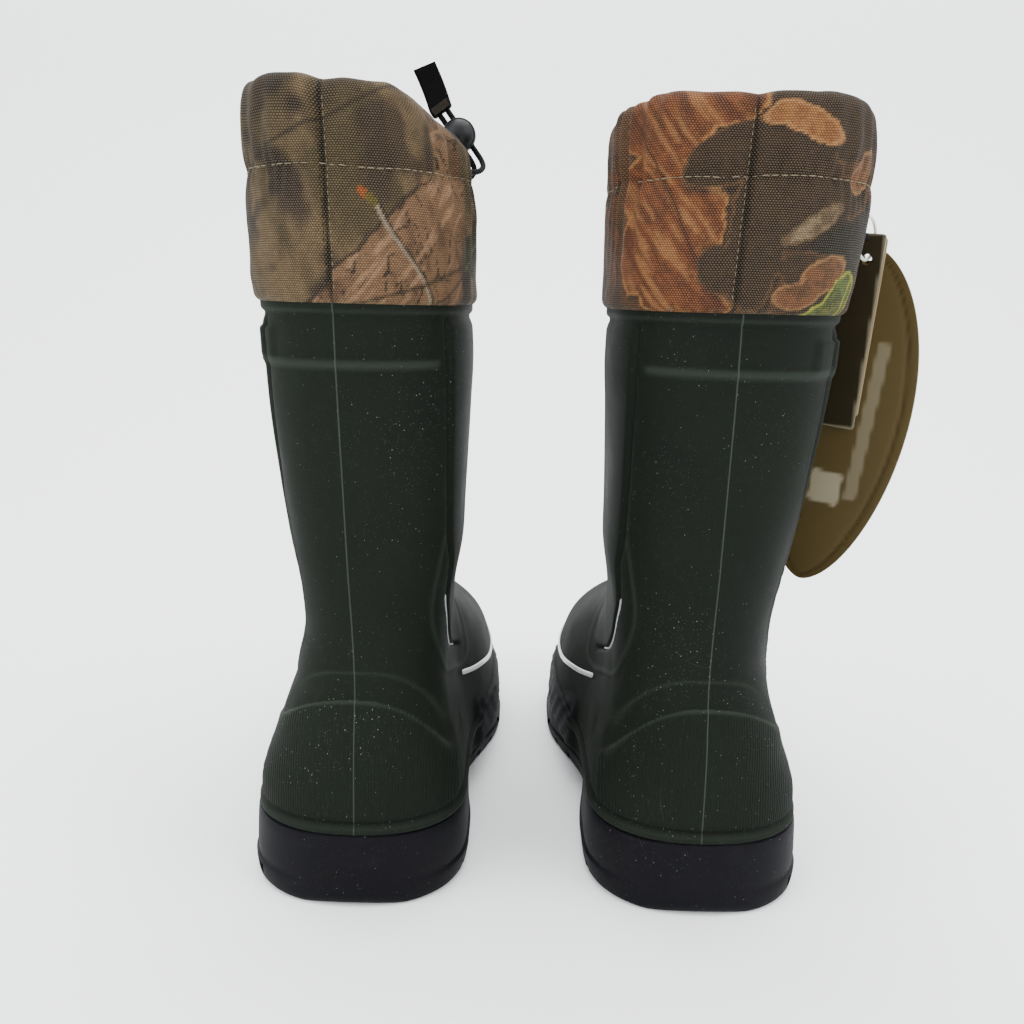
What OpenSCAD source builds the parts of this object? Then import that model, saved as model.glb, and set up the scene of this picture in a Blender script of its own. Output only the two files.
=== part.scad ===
// A pair of insulated hunting boots: moulded EVA shells on rubber outsoles,
// removable thermal liners and printed fabric collars closed by a drawcord.
// Each boot is drawn in its own frame: heel at y = 0, toes to +Y, the outer
// (lateral) side to +X, sole on z = 0. The left boot is its mirror image.

/* [Pair] */
// Distance between the centre lines of the two boots
boot_spacing = 145.5; // [140:0.1:170]

/* [Outsole] */
// Length of the outsole
sole_len = 296; // [292:1:300]
// Depth of the tread grooves
groove_d = 4.5; // [3:0.5:5]
// Width of a tread groove
groove_w = 5; // [3:0.5:6]

/* [Shell] */
// Wall thickness of the moulded shell
shell_t = 5.5; // [4:0.5:6]
// Height of the shell's upper rim
rim_z = 253.5; // [252:0.5:256]
// Height of the raised bead round the shaft
bead_z = 229.5; // [225:0.5:235]

/* [Liner] */
// Thickness of the thermal liner
liner_t = 5.5; // [4:0.5:6]
// Thickness of the insole
insole_t = 4.5; // [3:0.5:6]

/* [Collar] */
// Height of the collar's upper hem
collar_top = 325; // [322:1:326]
// Height of the stitch line under the cord channel
channel_z = 297; // [294:1:300]

/* [Drawcord] */
// Diameter of the drawcord
cord_d = 2.5; // [2.2:0.1:2.6]
// Radius of the cord lock's body
lock_r = 7.5; // [7.2:0.1:8]
// Travel of the cord lock's plunger
press_travel = 2; // [1:0.1:2]

/* [Hang tags] */
// Length of the leaf-shaped tag
leaf_len = 154; // [140:1:160]
// Width of the leaf-shaped tag
leaf_w = 67; // [60:1:70]
// Thickness of each tag
tag_t = 0.8; // [0.6:0.1:1]

/* [Hidden] */

$fn = 48;
// Half the number of points in a ring of the shell, and of the soft parts
ring_n = 18;
soft_n = 14;
// The pair's frame has its origin under the middle of the whole outline
shift_x = 17.235;
shift_y = 133.922;
end_n = 2.3;
toe_n = 2.15;

// Side and front outline of a boot at each height: [height, position or half width]
back_line = [[14, 4], [36, 2.8], [67, 3.6], [90, 7], [104, 7], [118, 4.7],
    [150, -4], [185, -11.5], [211, -17], [230, -20.5], [254, -23.5], [325, -25]];
front_line = [[14, 280], [24, 288], [36, 291], [48, 289], [60, 281], [72, 266],
    [80, 250], [86, 233], [91, 212], [97, 192], [105, 177], [117, 161], [132, 147],
    [150, 135], [170, 125], [190, 117], [211, 110], [230, 104], [254, 96],
    [290, 99], [325, 103]];
lat_heel = [[14, 47], [36, 46.5], [45, 46], [54, 43.6], [64, 40], [73, 37.7],
    [82, 35], [91, 33], [105, 31], [120, 31], [150, 34], [170, 36.5], [187, 38.5],
    [213, 41], [230, 42], [254, 42], [290, 47], [303, 46], [325, 44.5]];
// The left boot's outer and inner sides, drawn in by its tightened cord
lat_heel_left = [[14, 47], [36, 46.5], [45, 46], [54, 43.6], [64, 40], [73, 37.4],
    [82, 34.5], [91, 31.5], [105, 29], [118, 27], [133, 27.6], [150, 29.4], [183, 33.1],
    [215, 35.7], [254, 36.8], [290, 37.8], [312, 40.6], [325, 40.6]];
med_heel = [[14, 44.5], [36, 44], [54, 41.5], [73, 37], [91, 34.5], [120, 35.5],
    [150, 40], [170, 41], [187, 42], [213, 43.5], [230, 44.7], [254, 45], [325, 43]];
med_heel_left = [[14, 44.5], [36, 44], [54, 41.5], [73, 37], [91, 34.5], [120, 35.5],
    [150, 40], [170, 41], [187, 42], [213, 43.3], [230, 44], [254, 43], [290, 41.2], [309, 37.6], [325, 33.5]];
lat_ball = [[14, 52], [42, 50], [67, 45], [80, 40], [91, 35], [105, 31]];
med_ball = [[14, 56], [42, 53], [67, 48], [80, 42], [91, 37], [105, 35]];
back_round = [[14, 42], [60, 44], [110, 50], [254, 58]];
front_round = [[14, 92], [60, 95], [85, 100], [105, 95], [130, 75], [160, 66], [254, 60]];
sole_top = [[0, 32.5], [110, 32], [150, 27], [190, 24], [240, 25], [270, 28], [296, 32]];
sole_lat = [[0, 49], [60, 49], [115, 45], [190, 53], [296, 53]];
sole_med = [[0, 44], [60, 44], [115, 41], [190, 57.5], [296, 57.5]];
// Underside of the sole, from the heel's edge to the toe spring
sole_under = [[5, 0], [228, 0], [256, 3.5], [280, 11], [296, 22]];

function clamp01(v) = min(1, max(0, v));
function ease(v) = let (c = clamp01(v)) c * c * (3 - 2 * c);
function mix(a, b, k) = a + (b - a) * k;
function bulge(v, n) = pow(1 - pow(clamp01(v), n), 1 / n);
function back_y(z, t) = lookup(z, back_line) + t;
function front_y(z, t) = lookup(z + 0.8 * t, front_line) - t;
function base_w(y, z, heel, ball) =
    let (forward = ease((y - 85) / 95) * clamp01((105 - z) / 10))
    mix(lookup(z, heel), lookup(z, ball), forward);
function half_w(y, z, t, heel, ball) =
    let (rb = lookup(z, back_round), rf = lookup(z, front_round))
    let (back = bulge((back_y(z, t) + rb - y) / rb, end_n))
    let (front = bulge((y - front_y(z, t) + rf) / rf, toe_n))
    (base_w(y, z, heel, ball) - t) * back * front;
function ring_y(z, t, k) = mix(back_y(z, t), front_y(z, t), (1 - cos(180 * k)) / 2);

// One closed outline of the boot at height z, set in by t; $outer_side and $inner_side are
// the tables of the boot being drawn
function ring(z, t, n) = concat(
    [for (j = [0:n]) let (y = ring_y(z, t, j / n)) [half_w(y, z, t, $outer_side, lat_ball), y, z]],
    [for (j = [n - 1:-1:1]) let (y = ring_y(z, t, j / n)) [-half_w(y, z, t, $inner_side, med_ball), y, z]]);

// A closed body through rings of equal point count
module skin(rings) {
    m = len(rings[0]);
    points = [for (r = rings) each r];
    sides = [for (k = [0:len(rings) - 2], i = [0:m - 1]) let (j = (i + 1) % m)
        each [[k * m + i, (k + 1) * m + i, (k + 1) * m + j],
              [k * m + i, (k + 1) * m + j, k * m + j]]];
    floor_face = [for (i = [0:m - 1]) i];
    top_face = [for (i = [m - 1:-1:0]) (len(rings) - 1) * m + i];
    polyhedron(points, concat([floor_face], sides, [top_face]));
}

// The boot's outline set in by the second number at each height of a list
module boot_body(levels, n) {
    skin([for (l = levels) ring(l[0], l[1], n)]);
}

// Everything below the top of the sole raised by dz
module below_sole(dz) {
    rotate([90, 0, 90]) translate([0, 0, -90]) linear_extrude(180)
        polygon(concat([[-60, -1], [-60, 32.5 + dz]],
            [for (p = sole_top) [p[0], p[1] + dz]], [[340, 32 + dz], [340, -1]]));
}

// One boot in the pair: side is 1 for the right boot and -1 for the left
module placed(side) {
    $outer_side = side < 0 ? lat_heel_left : lat_heel;
    $inner_side = side < 0 ? med_heel_left : med_heel;
    $eyelets = side < 0 ? left_eyelet_places : right_eyelet_places;
    translate([side * boot_spacing / 2 - shift_x, -shift_y, 0])
        mirror([side < 0 ? 1 : 0, 0, 0]) children();
}

// A round tube of radius r along a list of points
module tube(path, r, sides) {
    last = len(path) - 1;
    function dir(i) = let (d = path[min(i + 1, last)] - path[max(i - 1, 0)]) d / norm(d);
    function side_of(d) = let (c = cross(d, [0.31, 0.21, 0.93])) c / norm(c);
    rings = [for (i = [0:last]) let (d = dir(i), u = side_of(d), v = cross(d, u))
        [for (a = [0:sides - 1]) path[i] + r * (cos(360 * a / sides) * u + sin(360 * a / sides) * v)]];
    skin(rings);
}

/* Shell and sole */

shell_levels = [14, 24, 30, 36, 42, 50, 58, 66, 72, 77, 81, 85, 88, 91, 94, 98, 104, 111,
    120, 132, 148, 165, 183, 200, 216];
inner_levels = [26, 34, 44, 54, 64, 70, 75, 79, 82, 85, 88, 92, 98, 106, 117, 132, 150,
    172, 200, 230, rim_z - 3, 262];

module shell() {
    levels = concat([for (z = shell_levels) [z, 0]],
        [[bead_z - 2.5, 0], [bead_z - 1, -1.3], [bead_z + 1, -1.3], [bead_z + 2.5, 0],
         [rim_z - 6, 0], [rim_z - 5, -1.2], [rim_z, -1.2]]);
    color("#3c433d") difference() {
        boot_body(levels, ring_n);
        below_sole(0);
        difference() {
            boot_body([for (z = inner_levels) [z, shell_t]], soft_n);
            below_sole(6);
        }
    }
}

function sole_half(y, side, grow) =
    (lookup(y, side) + grow) * bulge((46 - y) / 46, end_n) * bulge((y - sole_len + 92) / 92, toe_n);

// Plan outline of the outsole, widened by grow at the sides
module sole_plan(grow) {
    n = 26;
    ys = [for (j = [0:n]) sole_len * (1 - cos(180 * j / n)) / 2];
    polygon(concat([for (y = ys) [sole_half(y, sole_lat, grow), y]],
        [for (j = [n - 1:-1:1]) [-sole_half(ys[j], sole_med, grow), ys[j]]]));
}

module sole_profile() {
    rotate([90, 0, 90]) translate([0, 0, -90]) linear_extrude(180)
        polygon(concat([[0, 5]], sole_under,
            [for (i = [len(sole_top) - 1:-1:0]) sole_top[i]]));
}

// Rubber outsole: cross grooves, a channel along the middle and a step under the arch
arch_y = 78;
arch_len = 40;
module outsole() {
    groove_ys = [30, 52, 134, 154, 174, 194, 214, 236, 258, 278];
    color("#17181a") difference() {
        intersection() {
            union() {
                linear_extrude(60) sole_plan(-1.5);
                linear_extrude(15) sole_plan(1);
            }
            sole_profile();
        }
        translate([-90, arch_y, -1]) cube([180, arch_len, 1 + groove_d]);
        for (y = groove_ys) {
            lift = lookup(y, sole_under);
            translate([-90, y - groove_w / 2, lift - 1]) cube([180, groove_w, 1 + groove_d]);
        }
        for (channel = [[10, 60], [124, 140]]) translate([-groove_w / 2, channel[0], -1])
            cube([groove_w, channel[1], 1 + groove_d]);
    }
}

// Thin strips of reflective film on both sides of the vamp
vamp_levels = [for (z = shell_levels) if (z > 57 && z < 112) z];
module reflectors() {
    color("#d8dadb") intersection() {
        difference() {
            boot_body([for (z = vamp_levels) [z, -0.6]], ring_n);
            boot_body([for (z = vamp_levels) [z, -0.1]], ring_n);
        }
        rotate([90, 0, 90]) translate([0, 0, -90]) linear_extrude(180)
            polygon([[130, 64], [136, 64], [170, 98], [164, 102]]);
        union() {
            translate([22, 0, 0]) cube([70, 300, 300]);
            translate([-92, 0, 0]) cube([70, 300, 300]);
        }
    }
}

/* Liner and insole */

liner_gap = 0.5;
module liner() {
    out_t = shell_t + liner_gap;
    in_t = out_t + liner_t;
    top_z = rim_z - 3;
    color("#b9bcc0") difference() {
        boot_body([for (z = inner_levels) if (z <= top_z) [z, out_t]], soft_n);
        below_sole(6 + liner_gap);
        difference() {
            boot_body([for (z = inner_levels) [z, in_t]], soft_n);
            below_sole(6 + liner_gap + liner_t);
        }
    }
}

module insole() {
    base = 6.1 + liner_gap + liner_t;
    color("#8d8f86") difference() {
        boot_body([for (z = [26, 34, 44, 54]) [z, shell_t + liner_t + 1]], soft_n);
        below_sole(base);
        difference() {
            translate([-90, -20, 0]) cube([180, 340, 80]);
            below_sole(base + insole_t);
        }
    }
}

/* Collar */

module collar() {
    hem = collar_top - 4;
    color("#7b6a4c") difference() {
        boot_body([[rim_z + 0.1, -2], [rim_z + 5, -3.2], [channel_z - 8, -3.4], [channel_z, -2.4],
            [channel_z + 7, -3.6], [hem, -3], [collar_top, -1.5]], ring_n);
        boot_body([[rim_z - 1, -0.2], [channel_z, -0.2], [hem, -0.2]], ring_n);
        boot_body([[hem - 1, 6.8], [collar_top + 1, 6.8]], ring_n);
        for (e = $eyelets) at_eyelet(e) {
            cylinder(r = eyelet_bore + 0.6, h = 12, center = true);
            cylinder(r = flange_r + 0.2, h = 5);
        }
    }
}

module collar_lining() {
    top_z = collar_top - 4.3;
    color("#2b2d2c") difference() {
        boot_body([[rim_z + 0.3, 0.1], [channel_z + 1, 0.1], [channel_z + 3, 4.3], [top_z, 4.3]], soft_n);
        boot_body([[rim_z - 1, 6.8], [channel_z, 6.8], [top_z + 1, 6.8]], soft_n);
    }
}

// Line of stitching under the cord channel
module rim_stitch() {
    color("#b8b09a") difference() {
        boot_body([[channel_z - 0.8, -3.2], [channel_z + 0.8, -3.2]], ring_n);
        boot_body([[channel_z - 2, -2.55], [channel_z + 2, -2.55]], ring_n);
    }
}

// Loop of tape inside the back of the collar for pulling the boot on
module pull_tape() {
    color("#1c1c1c") translate([-6, -14.3, 262]) difference() {
        translate([0, -1.2, 0]) cube([12, 3.4, 44]);
        translate([-1, 0, 6]) cube([14, 1, 32]);
    }
}

/* Drawcord hardware: the free stretches start at the two eyelets */

// Eyelet centres on the collar: [x, y, turn of the outward direction from +Y]
right_eyelet_places = [[-26.5, 93.2, 28], [-37.5, 82.6, 52]];
left_eyelet_places = [[-23.3, 93.2, 28], [-33.1, 82.6, 52]];
eyelet_z = 309;
eyelet_bore = 2.2;
flange_r = 4.2;
module at_eyelet(e) {
    translate([e[0], e[1], eyelet_z]) rotate([0, 0, e[2]]) rotate([-90, 0, 0]) children();
}

module eyelets_pair() {
    color("#9a9a96") for (e = $eyelets) at_eyelet(e) difference() {
        union() {
            translate([0, 0, 0.2]) cylinder(r = flange_r, h = 0.9);
            translate([0, 0, -4.4]) cylinder(r = eyelet_bore + 0.5, h = 5);
        }
        translate([0, 0, -6]) cylinder(r = eyelet_bore, h = 9);
    }
}

// Cord inside the channel, from the first eyelet round the back to the second
module drawcord() {
    n = 22;
    t = 2.1;
    lat = [for (j = [n:-1:0]) let (y = ring_y(eyelet_z, t, j / n))
        [half_w(y, eyelet_z, t, $outer_side, lat_ball), y, eyelet_z]];
    med = [for (j = [1:n]) let (y = ring_y(eyelet_z, t, j / n))
        [-half_w(y, eyelet_z, t, $inner_side, med_ball), y, eyelet_z]];
    front_med = [for (p = med) if (p[1] > 60 && p[0] > $eyelets[0][0] + flange_r) p];
    back_med = [for (p = med) if (p[1] < 76) p];
    color("#101010") tube(concat(front_med, lat, back_med), cord_d / 2, 8);
}

// Routes of the two free cord ends of each boot
left_route_a = [[-24.9, 96, 309], [-26.6, 99, 308.6], [-29.8, 101.6, 307.8], [-33.6, 103, 307],
    [-37.2, 102.8, 306.8], [-39.8, 101.6, 307.6], [-41.3, 100, 309.5], [-41.2, 98.6, 312],
    [-39.5, 98, 315], [-36.5, 98, 319], [-33.5, 98, 323], [-30.5, 98, 327], [-27.5, 98, 331],
    [-25.7, 98, 333.4], [-24.8, 98, 334.6]];
left_route_b = [[-35.7, 84.5, 309], [-38.6, 86.4, 308.4], [-41.8, 89, 308.4], [-44.5, 92.2, 309.6],
    [-45.6, 95.2, 311.8], [-44.6, 97.2, 314.6], [-42.7, 98, 317.4], [-39.7, 98, 321.4],
    [-36.7, 98, 325.4], [-33.7, 98, 329.4], [-30.7, 98, 333.4], [-28.9, 98, 335.8], [-28, 98, 337]];
right_route_a = [[-28, 96, 309], [-29, 98.6, 308.4], [-29.8, 100.6, 306.6], [-30.4, 101.7, 304],
    [-30.6, 102, 301], [-30.6, 102, 295], [-30.6, 102, 288], [-30.6, 102, 281],
    [-30.6, 102, 275], [-30.6, 102, 270]];
right_route_b = [[-40, 84.5, 309], [-42, 86.6, 308.6], [-42.6, 89.4, 307.6], [-41.4, 92.6, 306.2],
    [-39, 95.6, 304.8], [-36.8, 98.4, 303.2], [-35.2, 100.8, 301.4], [-34.6, 102, 298.6],
    [-34.6, 102, 292], [-34.6, 102, 286], [-34.6, 102, 280], [-34.6, 102, 275], [-34.6, 102, 270]];

module free_cord(route) {
    color("#101010") tube(route, cord_d / 2, 8);
}

// The lock's own frame: cords pass along Z, side by side in X, and the plunger moves along Y
cord_gap = 4;
module lock_body() {
    color("#26282b") difference() {
        union() {
            sphere(r = lock_r);
            rotate([-90, 0, 0]) cylinder(r = 6, h = lock_r + 0.5);
        }
        translate([0, -3 - press_travel, 0]) rotate([-90, 0, 0]) cylinder(r = 4.4, h = 20);
        for (x = [-1, 1]) translate([x * cord_gap / 2, 0, -10]) cylinder(r = 1.5, h = 20);
    }
}

module lock_plunger() {
    color("#3a3c40") difference() {
        translate([0, -1.9, 0]) rotate([-90, 0, 0]) cylinder(r = 4.34, h = 13);
        translate([-3.5, -1.45, -6]) cube([7, 5, 12]);
    }
}

module lock_spring() {
    color("#a5a7aa") translate([0, -2.9 - press_travel, 0]) rotate([-90, 0, 0]) difference() {
        cylinder(r = 3, h = press_travel + 0.8);
        translate([0, 0, -1]) cylinder(r = 2.2, h = 5);
    }
}

// The left lock's cords rise 4 for every 3 across; the right lock hangs straight down
left_lock_turn = [0, atan(3 / 4), 0];
module at_left_lock() {
    translate([-34.5, 98, 325]) rotate(left_lock_turn) children();
}
module at_right_lock() {
    translate([-32.6, 102, 286]) children();
}

// Webbing tab folded and sewn over both cord ends
tab_w = 10;
module cord_tab(lean) {
    color("#0c0c0d") difference() {
        translate([-tab_w / 2, -3.5, 0]) cube([tab_w, 7, 4]);
        for (x = [-1, 1]) translate([x * cord_gap / 2, 0, -1]) cylinder(r = cord_d / 2, h = 2.5);
    }
    color("#0c0c0d") translate([0, 0, 2.5]) rotate([0, lean, 0])
        translate([-tab_w / 2, -1.4, 0]) cube([tab_w, 2.8, 19]);
}

module at_left_tab() {
    translate([-27.3, 98, 334.6]) rotate(left_lock_turn) children();
}
module at_right_tab() {
    translate([-32.6, 102, 271.5]) rotate([180, 0, 0]) children();
}

/* Hang tags: plates in one upright plane beside the right boot's collar */

tag_centre = [61.5, 74, 204];
tag_turn = -41.3;
hole_s = 10;
plane_gap = 2.2;
// The nylon ring that all three tags hang on
ring_r = 9;
ring_z = 283;
ring_in = 6;
function hole_z(level) = ring_z - sqrt(pow(ring_r, 2) - pow(ring_in - level * plane_gap, 2));

// Tag frame: X along the tags' plane, -Y towards the boot, origin on the leaf tag's plane
module in_tag_plane(level) {
    translate([tag_centre[0], tag_centre[1], 0]) rotate([0, 0, tag_turn])
        translate([0, -level * plane_gap, 0]) children();
}

module plate() {
    rotate([90, 0, 0]) translate([0, 0, -tag_t / 2]) linear_extrude(tag_t) children();
}

// Leaf outline: two arcs that meet in rounded tips, fuller above the middle
module leaf_outline() {
    n = 22;
    side = [for (i = [0:n]) let (a = 180 * i / n, up = leaf_len / 2 * cos(a))
        [leaf_w / 2 * pow(sin(a), 1.15) * (1 + 0.1 * cos(a)), up]];
    polygon(concat(side, [for (i = [n - 1:-1:1]) [-side[i][0], side[i][1]]]));
}

module leaf_tag() {
    color("#8a7f4e") placed(1) in_tag_plane(0) plate() difference() {
        translate([0, tag_centre[2]]) rotate(-8) leaf_outline();
        translate([hole_s, hole_z(0)]) circle(r = 2.4);
    }
}

module card(level, w, top, drop) {
    placed(1) in_tag_plane(level) plate() difference() {
        translate([hole_s, hole_z(level)]) rotate(-4.5) translate([-w + 7, -drop])
            square([w, drop + top]);
        translate([hole_s, hole_z(level)]) circle(r = 2.4);
    }
}

module card_back() { color("#a98f68") card(1, 48, 9, 68); }
module card_front() { color("#5a4433") card(2, 50, 11, 73); }

module tag_ring() {
    color("#e4e4e0") placed(1) in_tag_plane(0) translate([hole_s, -ring_in, ring_z])
        rotate([90, 0, 90]) rotate_extrude() translate([ring_r, 0]) circle(r = 0.7);
}

// Short loop of tape sewn to the collar, open upwards, that holds the ring
module tag_anchor() {
    color("#1c1c1c") placed(1) in_tag_plane(0) translate([hole_s, -ring_in - ring_r, ring_z])
        difference() {
            translate([-4.5, -6, -1.5]) cube([9, 10, 3]);
            translate([-3, -2.6, -3]) cube([6, 5.2, 6]);
        }
}

module left_shell() { placed(-1) shell(); }
module left_outsole() { placed(-1) outsole(); }
module left_liner() { placed(-1) liner(); }
module left_insole() { placed(-1) insole(); }
module left_collar() { placed(-1) collar(); }
module left_collar_lining() { placed(-1) collar_lining(); }
module left_drawcord() { placed(-1) drawcord(); }
module left_eyelets() { placed(-1) eyelets_pair(); }
module left_cord_end_a() { placed(-1) free_cord(left_route_a); }
module left_cord_end_b() { placed(-1) free_cord(left_route_b); }
module left_cord_lock() { placed(-1) at_left_lock() lock_body(); }
module left_lock_plunger() { placed(-1) at_left_lock() lock_plunger(); }
module left_lock_spring() { placed(-1) at_left_lock() lock_spring(); }
module left_cord_tab() { placed(-1) at_left_tab() cord_tab(-14); }
module left_reflectors() { placed(-1) reflectors(); }
module left_rim_stitch() { placed(-1) rim_stitch(); }
module left_pull_tape() { placed(-1) pull_tape(); }
module right_shell() { placed(1) shell(); }
module right_outsole() { placed(1) outsole(); }
module right_liner() { placed(1) liner(); }
module right_insole() { placed(1) insole(); }
module right_collar() { placed(1) collar(); }
module right_collar_lining() { placed(1) collar_lining(); }
module right_drawcord() { placed(1) drawcord(); }
module right_eyelets() { placed(1) eyelets_pair(); }
module right_cord_end_a() { placed(1) free_cord(right_route_a); }
module right_cord_end_b() { placed(1) free_cord(right_route_b); }
module right_cord_lock() { placed(1) at_right_lock() lock_body(); }
module right_lock_plunger() { placed(1) at_right_lock() lock_plunger(); }
module right_lock_spring() { placed(1) at_right_lock() lock_spring(); }
module right_cord_tab() { placed(1) at_right_tab() cord_tab(0); }
module right_reflectors() { placed(1) reflectors(); }
module right_rim_stitch() { placed(1) rim_stitch(); }
module right_pull_tape() { placed(1) pull_tape(); }

left_shell();
left_outsole();
left_liner();
left_insole();
left_collar();
left_collar_lining();
left_drawcord();
left_eyelets();
left_cord_end_a();
left_cord_end_b();
left_cord_lock();
left_lock_plunger();
left_lock_spring();
left_cord_tab();
left_reflectors();
left_rim_stitch();
left_pull_tape();
right_shell();
right_outsole();
right_liner();
right_insole();
right_collar();
right_collar_lining();
right_drawcord();
right_eyelets();
right_cord_end_a();
right_cord_end_b();
right_cord_lock();
right_lock_plunger();
right_lock_spring();
right_cord_tab();
right_reflectors();
right_rim_stitch();
right_pull_tape();
tag_anchor();
tag_ring();
leaf_tag();
card_front();
card_back();
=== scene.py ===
"""Insulated hunting boots, dressed around the packed frame.

Lengths in the shape tables are millimetres in a boot's own frame, as in the part's source:
heel at y = 0, toes to +Y, the outer side to +X, sole on z = 0. The left boot is mirrored.
"""
import math

import bmesh
import bpy
import numpy as np
from mathutils import Matrix, Vector

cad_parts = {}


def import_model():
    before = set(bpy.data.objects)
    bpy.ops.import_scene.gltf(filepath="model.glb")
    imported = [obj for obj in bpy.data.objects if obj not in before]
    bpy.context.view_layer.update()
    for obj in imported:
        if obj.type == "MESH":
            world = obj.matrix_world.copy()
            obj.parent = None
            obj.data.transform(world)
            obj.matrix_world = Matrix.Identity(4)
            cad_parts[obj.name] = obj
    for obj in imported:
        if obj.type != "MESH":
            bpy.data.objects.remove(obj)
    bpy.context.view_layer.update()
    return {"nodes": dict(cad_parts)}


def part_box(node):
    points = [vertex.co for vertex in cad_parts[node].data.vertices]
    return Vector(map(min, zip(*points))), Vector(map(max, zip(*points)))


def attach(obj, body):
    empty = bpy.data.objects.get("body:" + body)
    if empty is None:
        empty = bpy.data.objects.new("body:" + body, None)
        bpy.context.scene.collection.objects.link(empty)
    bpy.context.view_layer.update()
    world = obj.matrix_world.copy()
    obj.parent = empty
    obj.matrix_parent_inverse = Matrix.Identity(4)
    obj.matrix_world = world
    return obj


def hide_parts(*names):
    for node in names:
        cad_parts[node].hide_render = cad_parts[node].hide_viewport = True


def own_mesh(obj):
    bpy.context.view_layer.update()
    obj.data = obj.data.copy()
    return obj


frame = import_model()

bl_info = {
    "name": "Insulated hunting boots",
    "version": (1, 0, 0),
    "blender": (4, 5, 0),
    "location": "3D View > Sidebar > Boots",
    "description": "Dresses a pair of insulated boots around their packed frame",
    "category": "Add Mesh",
}

MM = 0.001
SIDES = {"left": -1, "right": 1}
SOLE_MEDIAL = 58.5
SOLE_LENGTH = 296.0


def boot_origin(name):
    """The world place of a boot's own origin, in metres."""
    low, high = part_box(f"{name}_outsole")
    x = low[0] + SOLE_MEDIAL * MM if name == "right" else high[0] - SOLE_MEDIAL * MM
    return np.array([x, low[1], 0.0])


ORIGIN = {name: boot_origin(name) for name in SIDES}


def world(points, name):
    """Points in a boot's own frame, in millimetres, as world points in metres."""
    p = np.asarray(points, float) * MM
    p = p * np.array([SIDES[name], 1, 1])
    return p + ORIGIN[name]


# ---------------------------------------------------------------- boot outline

BACK_LINE = [(14, 4), (36, 2.8), (67, 3.6), (90, 7), (104, 7), (118, 4.7), (150, -4),
             (185, -11.5), (211, -17), (230, -20.5), (254, -23.5), (325, -25)]
FRONT_LINE = [(14, 280), (24, 288), (36, 291), (48, 289), (60, 281), (72, 266), (80, 250),
              (86, 233), (91, 212), (97, 192), (105, 177), (117, 161), (132, 147), (150, 135),
              (170, 125), (190, 117), (211, 110), (230, 104), (254, 96), (290, 99), (325, 103)]
LAT_HEEL = [(14, 47), (36, 46.5), (45, 46), (54, 43.6), (64, 40), (73, 37.7), (82, 35),
            (91, 33), (105, 31), (120, 31), (150, 34), (170, 36.5), (187, 38.5), (213, 41),
            (230, 42), (254, 42), (290, 47), (303, 46), (325, 44.5)]
LAT_HEEL_LEFT = [(14, 47), (36, 46.5), (45, 46), (54, 43.6), (64, 40), (73, 37.4), (82, 34.5), (91, 31.5),
                 (105, 29), (118, 27), (133, 27.6), (150, 29.4), (183, 33.1), (215, 35.7), (254, 36.8),
                 (290, 37.4), (312, 38.7), (325, 39.2)]
MED_HEEL = [(14, 44.5), (36, 44), (54, 41.5), (73, 37), (91, 34.5), (120, 35.5), (150, 40),
            (170, 41), (187, 42), (213, 43.5), (230, 44.7), (254, 45), (325, 43)]
MED_HEEL_LEFT = [(14, 44.5), (36, 44), (54, 41.5), (73, 37), (91, 34.5), (120, 35.5), (150, 40), (170, 41),
                 (187, 42), (213, 43.3), (230, 44), (254, 43), (290, 41.2), (309, 37.6), (325, 33.5)]
LAT_BALL = [(14, 52), (42, 50), (67, 45), (80, 40), (91, 35), (105, 31)]
MED_BALL = [(14, 56), (42, 53), (67, 48), (80, 42), (91, 37), (105, 35)]
BACK_ROUND = [(14, 42), (60, 44), (110, 50), (254, 58)]
FRONT_ROUND = [(14, 92), (60, 95), (85, 100), (105, 95), (130, 75), (160, 66), (254, 60)]
PARTING_LEAN = {"left": -0.013, "right": -0.024}
SEAM_SLANT = {"left": (2.0, 5.4), "right": (-7.5, -4.0)}
SOLE_TOP = [(0, 32.5), (110, 32), (150, 27), (190, 24), (240, 25), (270, 28), (296, 32)]
SOLE_LAT = [(0, 49), (60, 49), (115, 45), (190, 53), (296, 53)]
SOLE_MED = [(0, 45.6), (60, 45.6), (115, 41), (190, 57.5), (296, 57.5)]
END_POWER = 2.3
TOE_POWER = 2.15


def smooth_curve(table):
    """A monotone cubic through a table's points, flat beyond its ends."""
    x, y = np.array(table, float).T
    h, d = np.diff(x), np.diff(y) / np.diff(x)
    m = np.zeros(len(x))
    inner = d[:-1] * d[1:] > 0
    w1, w2 = 2 * h[1:] + h[:-1], h[1:] + 2 * h[:-1]
    safe = np.where(inner, d[:-1], 1), np.where(inner, d[1:], 1)
    m[1:-1] = np.where(inner, (w1 + w2) / (w1 / safe[0] + w2 / safe[1]), 0)
    m[0], m[-1] = d[0], d[-1]

    def value(v):
        v = np.clip(np.asarray(v, float), x[0], x[-1])
        i = np.clip(np.searchsorted(x, v) - 1, 0, len(h) - 1)
        t = (v - x[i]) / h[i]
        a, b = (1 + 2 * t) * (1 - t) ** 2, t * (1 - t) ** 2
        return a * y[i] + b * h[i] * m[i] + t * t * (3 - 2 * t) * y[i + 1] - t * t * (1 - t) * h[i] * m[i + 1]

    return value


back_line, front_line = smooth_curve(BACK_LINE), smooth_curve(FRONT_LINE)
back_round, front_round = smooth_curve(BACK_ROUND), smooth_curve(FRONT_ROUND)
sole_top = smooth_curve(SOLE_TOP)
HEEL = {("right", 1): smooth_curve(LAT_HEEL), ("left", 1): smooth_curve(LAT_HEEL_LEFT),
        ("right", -1): smooth_curve(MED_HEEL), ("left", -1): smooth_curve(MED_HEEL_LEFT)}
BALL = {1: smooth_curve(LAT_BALL), -1: smooth_curve(MED_BALL)}
SOLE = {1: smooth_curve(SOLE_LAT), -1: smooth_curve(SOLE_MED)}


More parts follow.
